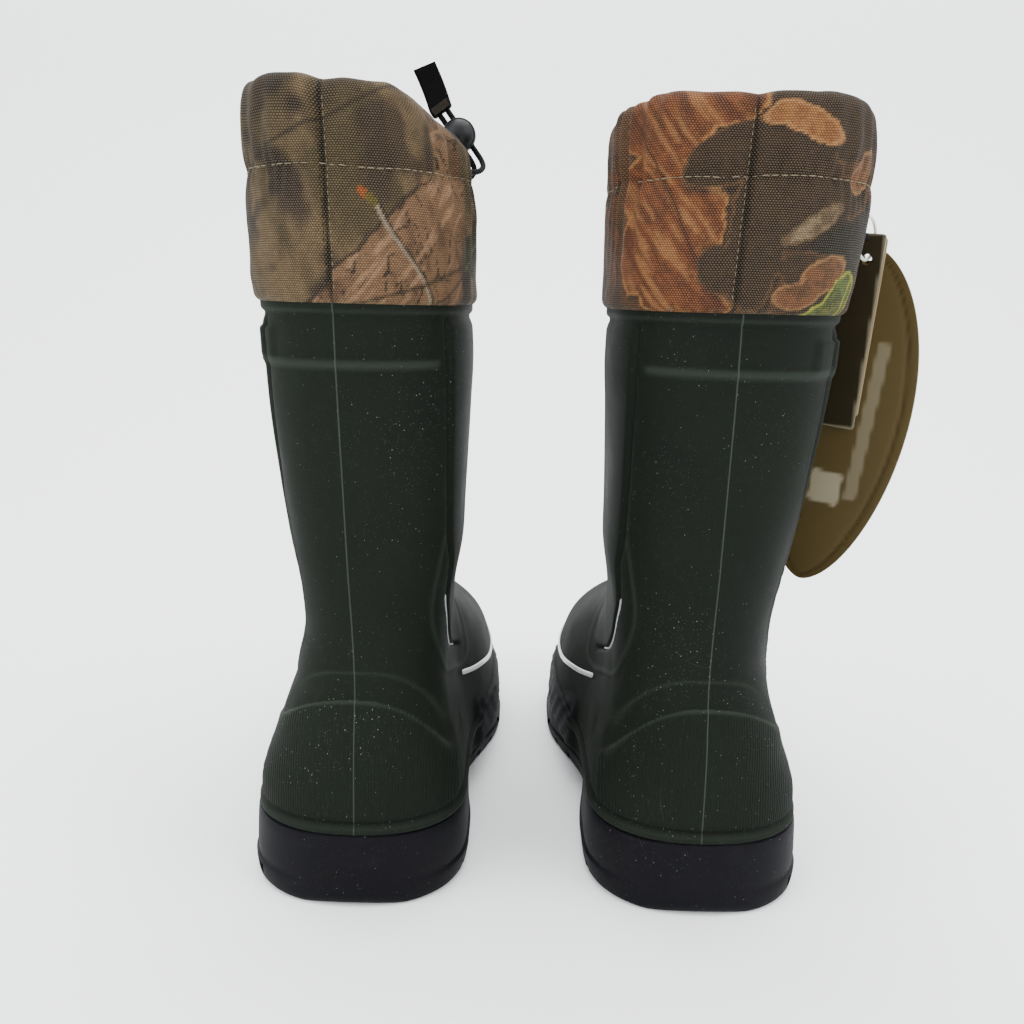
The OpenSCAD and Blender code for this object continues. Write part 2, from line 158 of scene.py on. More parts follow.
def ease(v):
    v = np.clip(v, 0, 1)
    return v * v * (3 - 2 * v)


def ramp(v, start, end):
    """0 at start, 1 at end, eased between."""
    return ease((v - start) / (end - start))


def bulge(v, power):
    return (1 - np.clip(v, 0, 1) ** power) ** (1 / power)


def half_width(boot, y, z, inset, side):
    """Half width of a boot at y and z, on its outer (1) or inner (-1) side."""
    yb, yf = back_line(z) + inset, front_line(z + 0.8 * inset) - inset
    rb, rf = back_round(z), front_round(z)
    forward = ease((y - 85) / 95) * np.clip((105 - z) / 10, 0, 1)
    base = HEEL[boot, side](z) * (1 - forward) + BALL[side](z) * forward
    return (base - inset) * bulge((yb + rb - y) / rb, END_POWER) * bulge((y - yf + rf) / rf, TOE_POWER)


def outline_rings(boot, z, inset, count):
    """Rings round a boot, one row for each height: first the outer side from heel to toe."""
    z, inset = np.asarray(z, float)[:, None], np.asarray(inset, float)[:, None]
    k = (1 - np.cos(np.pi * np.arange(count + 1) / count)) / 2
    yb, yf = back_line(z) + inset, front_line(z + 0.8 * inset) - inset
    y = yb + (yf - yb) * k[None, :]
    outer, inner = half_width(boot, y, z, inset, 1), half_width(boot, y, z, inset, -1)
    x = np.concatenate([outer, -inner[:, -2:0:-1]], axis=1)
    y = np.concatenate([y, y[:, -2:0:-1]], axis=1)
    return np.stack([x, y, np.broadcast_to(z, x.shape)], axis=2)


def grid_normals(p):
    """Outward normals of a closed grid of rings."""
    around = np.roll(p, -1, axis=1) - np.roll(p, 1, axis=1)
    up = np.gradient(p, axis=0)
    n = np.cross(around, up)
    return n / np.maximum(np.linalg.norm(n, axis=2, keepdims=True), 1e-9)


def heights(start, end, step):
    """Heights from start to end so that neither the heel nor the instep steps further than step."""
    fine = np.linspace(start, end, 2400)
    run = np.cumsum(np.concatenate([[0], np.hypot(np.diff(fine), 0.8 * np.diff(front_line(fine)))]))
    return np.interp(np.linspace(0, run[-1], int(run[-1] / step) + 1), run, fine)


def around_length(ring):
    """Signed distance along one ring from the heel, outer side positive, in world X sense."""
    n = len(ring) // 2
    closed = np.vstack([ring, ring[:1]])
    run = np.concatenate([[0], np.cumsum(np.linalg.norm(np.diff(closed, axis=0), axis=1))])
    return run, run[-1], n


# ---------------------------------------------------------------- noise for cloth and print

def lattice_noise(u, v, seed):
    table = np.random.default_rng(seed).random((64, 64))
    u, v = np.asarray(u, float), np.asarray(v, float)
    i, j = np.floor(u).astype(int), np.floor(v).astype(int)
    s, t = ease(u - i), ease(v - j)
    i, j = i % 64, j % 64
    i1, j1 = (i + 1) % 64, (j + 1) % 64
    a = table[i, j] * (1 - s) + table[i1, j] * s
    b = table[i, j1] * (1 - s) + table[i1, j1] * s
    return a * (1 - t) + b * t


def layered_noise(u, v, seed, octaves=4):
    total, weight, size = 0, 1.0, 0
    for o in range(octaves):
        total = total + weight * lattice_noise(u * 2 ** o + 17.3 * o, v * 2 ** o + 5.1 * o, seed + o)
        size += weight
        weight *= 0.5
    return total / size


# ---------------------------------------------------------------- mesh helpers

def build(name, vertices, faces, material, smooth=True):
    mesh = bpy.data.meshes.new(name)
    mesh.from_pydata([tuple(v) for v in vertices], [], faces)
    mesh.validate()
    mesh.update()
    obj = bpy.data.objects.new(name, mesh)
    bpy.context.collection.objects.link(obj)
    mesh.materials.append(material)
    if smooth:
        mesh.polygons.foreach_set("use_smooth", [True] * len(mesh.polygons))
    return obj


def face_grid(rows, cols, flip=False, closed=True):
    """Quads between the rows of a grid whose columns close on themselves."""
    i, j = np.meshgrid(np.arange(rows - 1), np.arange(cols if closed else cols - 1), indexing="ij")
    j1 = (j + 1) % cols
    quads = np.stack([i * cols + j, i * cols + j1, (i + 1) * cols + j1, (i + 1) * cols + j], axis=2)
    quads = quads.reshape(-1, 4)
    return (quads[:, ::-1] if flip else quads).tolist()


def ladder(row, cols, flip):
    """Quads that close a ring from side to side: its two halves have matching points."""
    half = cols // 2
    base = row * cols
    faces = [[base, base + 1, base + cols - 1]]
    for j in range(1, half - 1):
        faces.append([base + j, base + j + 1, base + cols - j - 1, base + cols - j])
    faces.append([base + half - 1, base + half, base + half + 1])
    return faces if flip else [f[::-1] for f in faces]


def rings_mesh(name, boot, rings, material):
    """A closed body of rings in a boot's own frame, capped by ladders at both ends."""
    rows, cols = rings.shape[:2]
    flip = SIDES[boot] < 0
    faces = face_grid(rows, cols, flip) + ladder(0, cols, flip) + ladder(rows - 1, cols, not flip)
    return build(name, world(rings.reshape(-1, 3), boot), faces, material)


def point_colour(obj, name, values):
    attribute = obj.data.color_attributes.new(name, "FLOAT_COLOR", "POINT")
    rgba = np.concatenate([values.reshape(-1, 3), np.ones((values.size // 3, 1))], axis=1)
    attribute.data.foreach_set("color", rgba.astype(np.float32).ravel())


def uv_from_points(obj, uv):
    """Gives each loop the place of its point, and mends the loops that cross the wrap."""
    layer = obj.data.uv_layers.new(name="cloth")
    loops = np.zeros(len(obj.data.loops), int)
    obj.data.loops.foreach_get("vertex_index", loops)
    values = uv[loops].copy()
    starts = np.array([p.loop_start for p in obj.data.polygons])
    totals = np.array([p.loop_total for p in obj.data.polygons])
    for start, total in zip(starts, totals):
        part = values[start:start + total, 0]
        if part.max() - part.min() > 1.0:
            part[part < 0] = part.max()
    layer.data.foreach_set("uv", values.astype(np.float32).ravel())


def finish_piece(obj, body, slot, *nodes):
    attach(obj, body)
    if nodes:
        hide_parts(*nodes)
    return obj


def only(obj):
    bpy.ops.object.select_all(action="DESELECT")
    obj.select_set(True)
    bpy.context.view_layer.objects.active = obj


def apply_modifier(obj, kind, **values):
    only(obj)
    modifier = obj.modifiers.new(kind.lower(), kind)
    for key, value in values.items():
        setattr(modifier, key, value)
    bpy.ops.object.modifier_apply(modifier=modifier.name)


def smooth_path(points, step):
    """A Catmull-Rom curve through the points, sampled about step apart."""
    p = np.asarray(points, float)
    p = np.vstack([2 * p[0] - p[1], p, 2 * p[-1] - p[-2]])
    out = []
    for a, b, c, d in zip(p[:-3], p[1:-2], p[2:-1], p[3:]):
        n = max(2, int(np.linalg.norm(c - b) / step) + 1)
        for t in np.arange(n) / n:
            out.append(0.5 * (2 * b + (c - a) * t + (2 * a - 5 * b + 4 * c - d) * t ** 2
                              + (3 * b - a - 3 * c + d) * t ** 3))
    out.append(p[-2])
    return np.array(out)


def frames_along(path, up):
    """Two directions across a path at each of its points, the second nearest to up."""
    along = np.gradient(path, axis=0)
    along /= np.linalg.norm(along, axis=1, keepdims=True)
    side = np.cross(along, up)
    side /= np.maximum(np.linalg.norm(side, axis=1, keepdims=True), 1e-9)
    return side, np.cross(side, along)


def swept(name, path, width, height, up, material, sides=10, power=1.0, taper=True):
    """A closed bar of oval section swept along a world path; width lies across up."""
    side, rise = frames_along(path, up)
    angle = 2 * np.pi * np.arange(sides) / sides
    ca, sa = np.cos(angle), np.sin(angle)
    ca = np.sign(ca) * np.abs(ca) ** power
    sa = np.sign(sa) * np.abs(sa) ** power
    scale = np.ones(len(path))
    if taper:
        scale[0] = scale[-1] = 0.35
    ring = (path[:, None, :] + scale[:, None, None] * (width / 2 * ca[None, :, None] * side[:, None, :]
            + height / 2 * sa[None, :, None] * rise[:, None, :]))
    rows = len(path)
    faces = face_grid(rows, sides, flip=True)
    faces += [list(range(sides)), list(range(rows * sides - 1, (rows - 1) * sides - 1, -1))]
    return build(name, ring.reshape(-1, 3), faces, material)


def outward(obj):
    """Turns every face of a closed piece outwards."""
    work = bmesh.new()
    work.from_mesh(obj.data)
    bmesh.ops.remove_doubles(work, verts=work.verts, dist=1e-7)
    bmesh.ops.recalc_face_normals(work, faces=work.faces)
    work.to_mesh(obj.data)
    work.free()
    return obj


def joined(name, pieces):
    """One object from several, all at the origin."""
    bpy.ops.object.select_all(action="DESELECT")
    for piece in pieces:
        piece.select_set(True)
    bpy.context.view_layer.objects.active = pieces[0]
    bpy.ops.object.join()
    pieces[0].name = name
    return pieces[0]


def settle(obj):
    """Moves an object's place, turn and scale into its mesh."""
    obj.data.transform(obj.matrix_world)
    obj.matrix_world = Matrix.Identity(4)
    return obj


# ---------------------------------------------------------------- node helpers

class Web:
    """Adds nodes to one tree and links them, a value or a socket at a time."""

    def __init__(self, tree):
        self.tree = tree

    def add(self, kind, inputs=(), **settings):
        node = self.tree.nodes.new(kind)
        for key, value in settings.items():
            setattr(node, key, value)
        for key, value in (inputs.items() if isinstance(inputs, dict) else enumerate(inputs)):
            self.put(node.inputs[key], value)
        return node

    def put(self, socket, value):
        if isinstance(value, bpy.types.NodeSocket):
            self.tree.links.new(value, socket)
        elif value is not None:
            socket.default_value = value

    def math(self, operation, *values, clamp=False):
        return self.add("ShaderNodeMath", values, operation=operation, use_clamp=clamp).outputs[0]

    def mix(self, factor, a, b, blend="MIX"):
        node = self.add("ShaderNodeMix", data_type="RGBA", blend_type=blend)
        self.put(node.inputs["Factor"], factor)
        self.put(node.inputs[6], a)
        self.put(node.inputs[7], b)
        return node.outputs[2]

    def span(self, value, low, high, out_low=0.0, out_high=1.0, smooth=True):
        kind = "SMOOTHSTEP" if smooth else "LINEAR"
        node = self.add("ShaderNodeMapRange", (value, low, high, out_low, out_high), interpolation_type=kind)
        return node.outputs[0]

    def noise(self, vector, scale, detail=3.0, rough=0.5):
        return self.add("ShaderNodeTexNoise", {"Vector": vector, "Scale": scale, "Detail": detail,
                                               "Roughness": rough}).outputs["Fac"]

    def cells(self, vector, scale, feature="F1", spread=1.0):
        node = self.add("ShaderNodeTexVoronoi", feature=feature)
        self.put(node.inputs["Vector"], vector)
        self.put(node.inputs["Scale"], scale)
        self.put(node.inputs["Randomness"], spread)
        return node.outputs["Distance"]


def colour(r, g, b):
    """An 8-bit display colour as the linear colour that a shader takes."""
    c = [(v / 255 / 12.92) if v <= 10 else ((v / 255 + 0.055) / 1.055) ** 2.4 for v in (r, g, b)]
    return (*c, 1.0)


def new_group(name, inputs, outputs):
    group = bpy.data.node_groups.new(name, "ShaderNodeTree")
    for label, kind, default in inputs:
        socket = group.interface.new_socket(label, in_out="INPUT", socket_type=kind)
        if default is not None:
            socket.default_value = default
    for label, kind in outputs:
        group.interface.new_socket(label, in_out="OUTPUT", socket_type=kind)
    web = Web(group)
    return group, web, web.add("NodeGroupInput"), web.add("NodeGroupOutput")


VALUE, TINT, PLACE = "NodeSocketFloat", "NodeSocketColor", "NodeSocketVector"


def grain_group():
    """Fine surface grain: a height for bump and a slow tone that breaks up a flat colour."""
    group, web, given, out = new_group(
        "Surface grain",
        [("Place", PLACE, None), ("Fine Scale", VALUE, 900.0), ("Slow Scale", VALUE, 25.0)],
        [("Height", VALUE), ("Tone", VALUE)])
    fine = web.noise(given.outputs["Place"], given.outputs["Fine Scale"], 4.0, 0.6)
    slow = web.noise(given.outputs["Place"], given.outputs["Slow Scale"], 5.0, 0.55)
    web.put(out.inputs["Height"], fine)
    web.put(out.inputs["Tone"], slow)
    return group


def dust_group():
    """Fine pale specks of dust in drifts, as a mask."""
    group, web, given, out = new_group(
        "Dust specks",
        [("Place", PLACE, None), ("Scale", VALUE, 400.0), ("Amount", VALUE, 0.5)],
        [("Mask", VALUE)])
    place, scale = given.outputs["Place"], given.outputs["Scale"]
    drift = web.math("MULTIPLY", web.noise(place, 26.0, 4.0), web.noise(place, 9.0, 2.0))
    size = web.span(drift, 0.05, 0.5, 0.045, 0.1)
    coarse = web.span(web.math("SUBTRACT", size, web.cells(place, scale)), 0.0, 0.05)
    fine = web.span(web.math("SUBTRACT", web.math("MULTIPLY", size, 1.5), web.cells(
        place, web.math("MULTIPLY", scale, 2.6))), 0.0, 0.09, 0.0, 0.55)
    web.put(out.inputs["Mask"], web.math("MULTIPLY", web.math("MAXIMUM", coarse, fine),
                                         given.outputs["Amount"]))
    return group


def weave_group():
    """A basket of short oval threads on a cloth map in decimetres: height, and the gaps between."""
    group, web, given, out = new_group(
        "Coarse weave",
        [("Place", PLACE, None), ("Across", VALUE, 96.0), ("Up", VALUE, 124.0)],
        [("Height", VALUE), ("Gap", VALUE), ("Thread", VALUE)])
    xyz = web.add("ShaderNodeSeparateXYZ", (given.outputs["Place"],))
    wobble = web.math("MULTIPLY", web.math("SUBTRACT", web.noise(given.outputs["Place"], 9.0, 2.0), 0.5), 0.9)
    u = web.math("ADD", web.math("MULTIPLY", xyz.outputs[0], given.outputs["Across"]), wobble)
    v = web.math("ADD", web.math("MULTIPLY", xyz.outputs[1], given.outputs["Up"]), wobble)
    row = web.math("FLOOR", v)
    odd = web.math("MULTIPLY", web.math("FLOORED_MODULO", row, 2.0), 0.5)
    a = web.math("SUBTRACT", web.math("FRACT", web.math("ADD", u, odd)), 0.5)
    b = web.math("SUBTRACT", web.math("FRACT", v), 0.5)
    a2 = web.math("MULTIPLY", web.math("MULTIPLY", a, a), 4.0)
    b2 = web.math("MULTIPLY", web.math("MULTIPLY", b, b), 4.0)
    dome = web.math("SUBTRACT", 1.0, web.math("ADD", web.math("MULTIPLY", a2, 0.9),
                                              web.math("MULTIPLY", b2, 0.9)))
    web.put(out.inputs["Height"], web.span(dome, -0.6, 1.0, 0.0, 1.0))
    web.put(out.inputs["Gap"], web.span(dome, 0.25, -0.35))
    cell = web.math("ADD", web.math("FLOOR", web.math("ADD", u, odd)), web.math("MULTIPLY", row, 7.13))
    web.put(out.inputs["Thread"], web.math("FRACT", web.math("MULTIPLY", web.math("SINE", web.math(
        "MULTIPLY", cell, 12.9898)), 43.7)))
    return group


def base_material(name, roughness=0.6, sheen=0.0, specular=0.5):
    material = bpy.data.materials.new(name)
    material.use_nodes = True
    web = Web(material.node_tree)
    shader = material.node_tree.nodes["Principled BSDF"]
    shader.inputs["Roughness"].default_value = roughness
    shader.inputs["Specular IOR Level"].default_value = specular
    if sheen:
        shader.inputs["Sheen Weight"].default_value = sheen
        shader.inputs["Sheen Roughness"].default_value = 0.45
    place = web.add("ShaderNodeTexCoord").outputs["Object"]
    return material, web, shader, place


def use_group(web, group, inputs):
    node = web.add("ShaderNodeGroup", node_tree=group)
    for key, value in inputs.items():
        web.put(node.inputs[key], value)
    return node


def bump(web, shader, height, strength, distance):
    node = web.add("ShaderNodeBump", {"Height": height, "Strength": strength, "Distance": distance})
    web.put(shader.inputs["Normal"], node.outputs[0])
    return node


def attribute_of(web, name):
    return web.add("ShaderNodeAttribute", attribute_name=name, attribute_type="GEOMETRY")


def foam_material(groups, looks):
    """Matte moulded foam: parting line, ribbed heel pad, rubbed edges, scuffs and dust."""
    material, web, shader, place = base_material("olive_foam", 0.74, specular=0.05)
    grain = use_group(web, groups["grain"], {"Place": place, "Fine Scale": 1500.0, "Slow Scale": 14.0})
    dust = use_group(web, groups["dust"], {"Place": place, "Scale": 380.0, "Amount": looks.dust})
    marks = attribute_of(web, "relief")
    parts = web.add("ShaderNodeSeparateColor", (marks.outputs["Color"],))
    pad, pale_mark, groove_shade = parts.outputs
    xyz = web.add("ShaderNodeSeparateXYZ", (place,))
    rise = web.math("MAXIMUM", web.math("SUBTRACT", xyz.outputs[2], 0.09), 0.0)
    off = [web.math("ABSOLUTE", web.math("SUBTRACT", xyz.outputs[0],
                                         web.math("ADD", float(ORIGIN[name][0]), web.math(
        "MULTIPLY", rise, PARTING_LEAN[name])))) for name in SIDES]
    seam = web.span(web.math("MINIMUM", off[0], off[1]), 0.00042, 0.0001)
    dark = web.mix(grain.outputs["Tone"], tuple(looks.foam_dark), tuple(looks.foam_light))
    # Lighter colour on the relief edges: painted highlight, and rubbed wear.
    tint = web.mix(web.math("MULTIPLY", pale_mark, 0.3), dark, colour(66, 74, 66))
    tint = web.mix(web.math("MULTIPLY", seam, 0.24), tint, colour(84, 92, 84))
    scratch = web.span(web.cells(web.add("ShaderNodeMapping", {"Vector": place, "Rotation": (0.5, 0.9, 0.3),
                                                              "Scale": (1.0, 1.0, 0.14)}).outputs[0],
                                 115.0, "DISTANCE_TO_EDGE"), 0.006, 0.0)
    worn = web.span(web.noise(place, 19.0, 4.0), 0.58, 0.74)
    tint = web.mix(web.math("MULTIPLY", web.math("MULTIPLY", scratch, worn), 0.14), tint, colour(90, 96, 88))
    # Painted shade: the groove under the heel pad turns near black.
    tint = web.mix(web.math("MULTIPLY", groove_shade, 0.8), tint, colour(4, 5, 4))
    tint = web.mix(dust.outputs["Mask"], tint, colour(168, 170, 160))
    web.put(shader.inputs["Base Color"], tint)
    web.put(shader.inputs["Roughness"], web.span(grain.outputs["Tone"], 0.3, 0.7, 0.62, 0.8))
    lane = web.math("ADD", web.math("MULTIPLY", xyz.outputs[0], 5200.0),
                    web.math("MULTIPLY", web.noise(place, 90.0, 2.0), 9.0))
    broken = web.noise(web.add("ShaderNodeMapping",
                               {"Vector": place, "Scale": (900.0, 900.0, 130.0)}).outputs[0],
                       1.0, 2.0)
    rib = web.math("MULTIPLY", web.math("MULTIPLY", web.math("SINE", lane), broken),
                   web.math("MULTIPLY", pad, 0.9))
    height = web.math("ADD", web.math("ADD", web.math("MULTIPLY", grain.outputs["Height"], 0.55), rib),
                      web.math("MULTIPLY", seam, 1.2))
    bump(web, shader, height, 0.5, 0.00035)
    return material


def rubber_material(groups, looks):
    """Near-black rubber with a faint bluish bloom, scuffs and dust."""
    material, web, shader, place = base_material("black_rubber", 0.66, specular=0.06)
    grain = use_group(web, groups["grain"], {"Place": place, "Fine Scale": 1200.0, "Slow Scale": 18.0})
    dust = use_group(web, groups["dust"], {"Place": place, "Scale": 330.0, "Amount": looks.dust})
    tint = web.mix(grain.outputs["Tone"], tuple(looks.rubber), colour(13, 13, 17))
    haze = web.span(web.noise(place, 60.0, 5.0, 0.7), 0.52, 0.78)
    tint = web.mix(web.math("MULTIPLY", haze, 0.12), tint, colour(46, 46, 50))
    tint = web.mix(dust.outputs["Mask"], tint, colour(150, 150, 146))
    web.put(shader.inputs["Base Color"], tint)
    web.put(shader.inputs["Roughness"], web.span(haze, 0.0, 1.0, 0.58, 0.74))
    bump(web, shader, grain.outputs["Height"], 0.35, 0.0003)
    return material


def printed_material(groups, looks):
    """Coarse woven cloth that takes its printed picture from the mesh."""
    material, web, shader, place = base_material("printed_cloth", 0.85, specular=0.1)
    cloth = web.add("ShaderNodeUVMap", uv_map="cloth").outputs[0]
    weave = use_group(web, groups["weave"],
                      {"Place": cloth, "Across": looks.weave_across, "Up": looks.weave_up})
    picture = attribute_of(web, "print").outputs["Color"]
    fleck = web.span(weave.outputs["Thread"], 0.0, 1.0, 0.86, 1.16, smooth=False)
    lit = web.add("ShaderNodeVectorMath", (picture,), operation="SCALE")
    web.put(lit.inputs["Scale"], fleck)
    # Painted shade in the gaps between the threads.
    tint = web.mix(web.math("MULTIPLY", weave.outputs["Gap"], 0.6), lit.outputs[0], colour(16, 13, 11))
    # Painted highlight: the thread crowns turn pale.
    crown_highlight = web.span(weave.outputs["Height"], 0.72, 1.0)
    tint = web.mix(web.math("MULTIPLY", crown_highlight, 0.07), tint, colour(200, 184, 156))
    web.put(shader.inputs["Base Color"], tint)
    web.put(shader.inputs["Roughness"], web.span(weave.outputs["Height"], 0.0, 1.0, 0.95, 0.7))
    fuzz = web.noise(place, 2600.0, 2.0)
    height = web.math("ADD", weave.outputs["Height"], web.math("MULTIPLY", fuzz, 0.25))
    bump(web, shader, height, 0.8, 0.0004)
    return material


def cloth_material(name, dark, light, scale, roughness=0.9, sheen=0.4, depth=0.0004):
    """Felt, knit or fleece: matted fibres with a slow tone."""
    material, web, shader, place = base_material(name, roughness, sheen=sheen, specular=0.2)
    fibre = web.noise(place, scale, 6.0, 0.72)
    clump = web.cells(place, scale * 0.45)
    tone = web.math("ADD", web.math("MULTIPLY", fibre, 0.7), web.math("MULTIPLY", clump, 0.45))
    web.put(shader.inputs["Base Color"], web.mix(web.span(tone, 0.25, 0.85), dark, light))
    web.put(shader.inputs["Roughness"], web.span(tone, 0.2, 0.9, 0.98, 0.8))
    bump(web, shader, tone, 0.7, depth)
    return material


def webbing_material(name, dark, light, pitch):
    """Woven tape: herringbone ribs on the Object coordinates."""
    material, web, shader, place = base_material(name, 0.85, specular=0.06)
    xyz = web.add("ShaderNodeSeparateXYZ", (place,))
    flat = web.math("ADD", xyz.outputs[0], web.math("MULTIPLY", xyz.outputs[1], 0.6))
    warp = web.math("SINE", web.math("MULTIPLY", flat, pitch))
    turn = web.math("MULTIPLY", web.math("SIGN", warp), web.math("MULTIPLY", flat, pitch * 0.5))
    weft = web.math("SINE", web.math("ADD", web.math("MULTIPLY", xyz.outputs[2], pitch * 1.3), turn))
    height = web.math("ADD", web.math("MULTIPLY", web.math("ABSOLUTE", warp), 0.5),
                      web.math("MULTIPLY", weft, 0.3))
    # Colour by rib height: painted highlight on the raised ribs, painted shade between them.
    web.put(shader.inputs["Base Color"], web.mix(web.span(height, -0.2, 0.8), dark, light))
    web.put(shader.inputs["Roughness"], web.span(height, -0.2, 0.8, 0.9, 0.7))
    bump(web, shader, height, 0.7, 0.0004)
    return material


def braid_material(name, dark, light):
    """Round braided cord on a map with turns across and centimetres along."""
    material, web, shader, _ = base_material(name, 0.75, specular=0.1)
    xyz = web.add("ShaderNodeSeparateXYZ", (web.add("ShaderNodeUVMap", uv_map="cloth").outputs[0],))
    one = web.math("SINE", web.math("ADD", web.math("MULTIPLY", xyz.outputs[0], 25.13),
                                    web.math("MULTIPLY", xyz.outputs[1], 42.0)))
    two = web.math("SINE", web.math("SUBTRACT", web.math("MULTIPLY", xyz.outputs[0], 25.13),
                                    web.math("MULTIPLY", xyz.outputs[1], 42.0)))
    height = web.math("MAXIMUM", one, two)
    # Colour by strand height: painted highlight on the raised strands, painted shade between them.
    web.put(shader.inputs["Base Color"], web.mix(web.span(height, -0.4, 0.9), dark, light))
    web.put(shader.inputs["Roughness"], web.span(height, -0.4, 0.9, 0.85, 0.62))
    bump(web, shader, height, 0.8, 0.0003)
    return material


def hard_material(name, dark, light, roughness, metallic=0.0, scale=700.0, wear=None, coat=0.0, specular=0.5):
    """Moulded plastic, lacquered metal or film: grain, slow tone and rubbed high spots."""
    material, web, shader, place = base_material(name, roughness, specular=specular)
    shader.inputs["Metallic"].default_value = metallic
    shader.inputs["Coat Weight"].default_value = coat
    fine = web.noise(place, scale, 4.0, 0.6)
    slow = web.noise(place, scale * 0.06, 4.0, 0.6)
    tint = web.mix(slow, dark, light)
    if wear:
        pale_mark = web.span(web.noise(place, scale * 0.25, 5.0, 0.7), 0.6, 0.75)
        tint = web.mix(web.math("MULTIPLY", pale_mark, 0.35), tint, wear)
    web.put(shader.inputs["Base Color"], tint)
    web.put(shader.inputs["Roughness"], web.span(slow, 0.3, 0.7, max(0.05, roughness - 0.08), roughness
                                                 + 0.08))
    bump(web, shader, fine, 0.3, 0.0002)
    return material


def card_material(name, face, edge_tint, fleck):
    """Printed card: paper fibres and a border line kept on the mesh as an attribute."""
    material, web, shader, place = base_material(name, 0.6, specular=0.2)
    fibre = web.noise(web.add("ShaderNodeMapping", {"Vector": place, "Scale": (1.0, 1.0, 0.35)}).outputs[0],
                      1800.0, 5.0, 0.7)
    slow = web.noise(place, 16.0, 4.0)
    mark = web.add("ShaderNodeSeparateColor", (attribute_of(web, "marks").outputs["Color"],))
    tint = web.mix(web.math("MULTIPLY", fibre, 0.35), face, fleck)
    tint = web.mix(web.math("MULTIPLY", slow, 0.25), tint, edge_tint)
    tint = web.mix(mark.outputs[0], tint, edge_tint)
    tint = web.mix(web.math("MULTIPLY", mark.outputs[1], 0.85), tint, colour(150, 142, 118))
    tint = web.mix(web.math("MULTIPLY", mark.outputs[2], 0.5), tint, colour(40, 32, 16))
    web.put(shader.inputs["Base Color"], tint)
    web.put(shader.inputs["Roughness"], web.span(fibre, 0.2, 0.8, 0.46, 0.62))
    bump(web, shader, fibre, 0.25, 0.0002)
    return material


def build_materials(looks):
    groups = {"grain": grain_group(), "dust": dust_group(), "weave": weave_group()}
    return {
        "foam": foam_material(groups, looks),
        "rubber": rubber_material(groups, looks),
        "printed": printed_material(groups, looks),
        "felt": cloth_material("thermal_felt", colour(92, 94, 96), colour(160, 162, 162), 650.0),
        "knit": cloth_material("black_knit", colour(8, 9, 9), colour(30, 31, 30), 1100.0),
        "webbing": webbing_material("black_webbing", colour(2, 2, 2), colour(9, 9, 9), 5200.0),
        "braid": braid_material("black_braid", colour(3, 3, 3), colour(14, 14, 14)),
        "thread": cloth_material("stitch_thread", colour(66, 60, 44), colour(118, 110, 90), 5200.0, 0.8, 0.0),
        "dark_thread": cloth_material("dark_thread", colour(12, 10, 8), colour(44, 38, 30), 5200.0, 0.8, 0.0),
        "plastic": hard_material("black_plastic", colour(5, 6, 7), colour(13, 15, 16), 0.45,
                                 wear=colour(34, 36, 38), specular=0.2),
        "metal": hard_material("dull_metal", colour(118, 116, 108), colour(160, 158, 150), 0.38, metallic=1.0,
                               wear=colour(205, 203, 196)),
        "steel": hard_material("spring_steel", colour(150, 150, 152), colour(190, 190, 192), 0.3,
                               metallic=1.0),
        "film": hard_material("reflective_film", colour(150, 152, 152), colour(192, 194, 194), 0.35,
                              scale=2600.0,
                              coat=0.4),
        "nylon": hard_material("milky_nylon", colour(196, 196, 188), colour(222, 222, 214), 0.4),
        "khaki": card_material("khaki_card", colour(74, 62, 34), colour(56, 44, 18), colour(92, 80, 50)),
        "brown": card_material("brown_card", colour(34, 29, 15), colour(24, 20, 10), colour(52, 45, 27)),
        "kraft": card_material("kraft_card", colour(150, 124, 84), colour(118, 94, 60),
                               colour(172, 148, 110)),
    }


MATERIAL = {}


# ---------------------------------------------------------------- shells

PANEL_LINE = [(-3, 252), (-1, 244), (2, 227), (14, 182), (21, 158), (28, 146), (37, 128), (46, 118),
              (60, 104),
              (80, 91), (99, 84), (113, 79)]
PANEL_RIDGE = [(10, 186), (17, 164), (17, 146), (22, 125), (32, 107), (50, 89), (85, 77), (110, 70),
               (128, 74),
               (137, 92), (134, 120), (122, 150)]
VAMP_LINE = [(104, 67), (126, 61), (150, 56), (172, 52), (196, 49), (226, 49), (256, 52)]


def line_distance(y, z, line):
    """Distance in the side view from each point to a line of (y, z) points."""
    p = smooth_path(np.array([(a, b, 0) for a, b in line], float), 2.0)[:, :2]
    best = np.full(y.shape, 1e9)
    for a, b in zip(p[:-1], p[1:]):
        d = b - a
        t = np.clip(((y - a[0]) * d[0] + (z - a[1]) * d[1]) / (d @ d), 0, 1)
        best = np.minimum(best, np.hypot(y - a[0] - t * d[0], z - a[1] - t * d[1]))
    return best


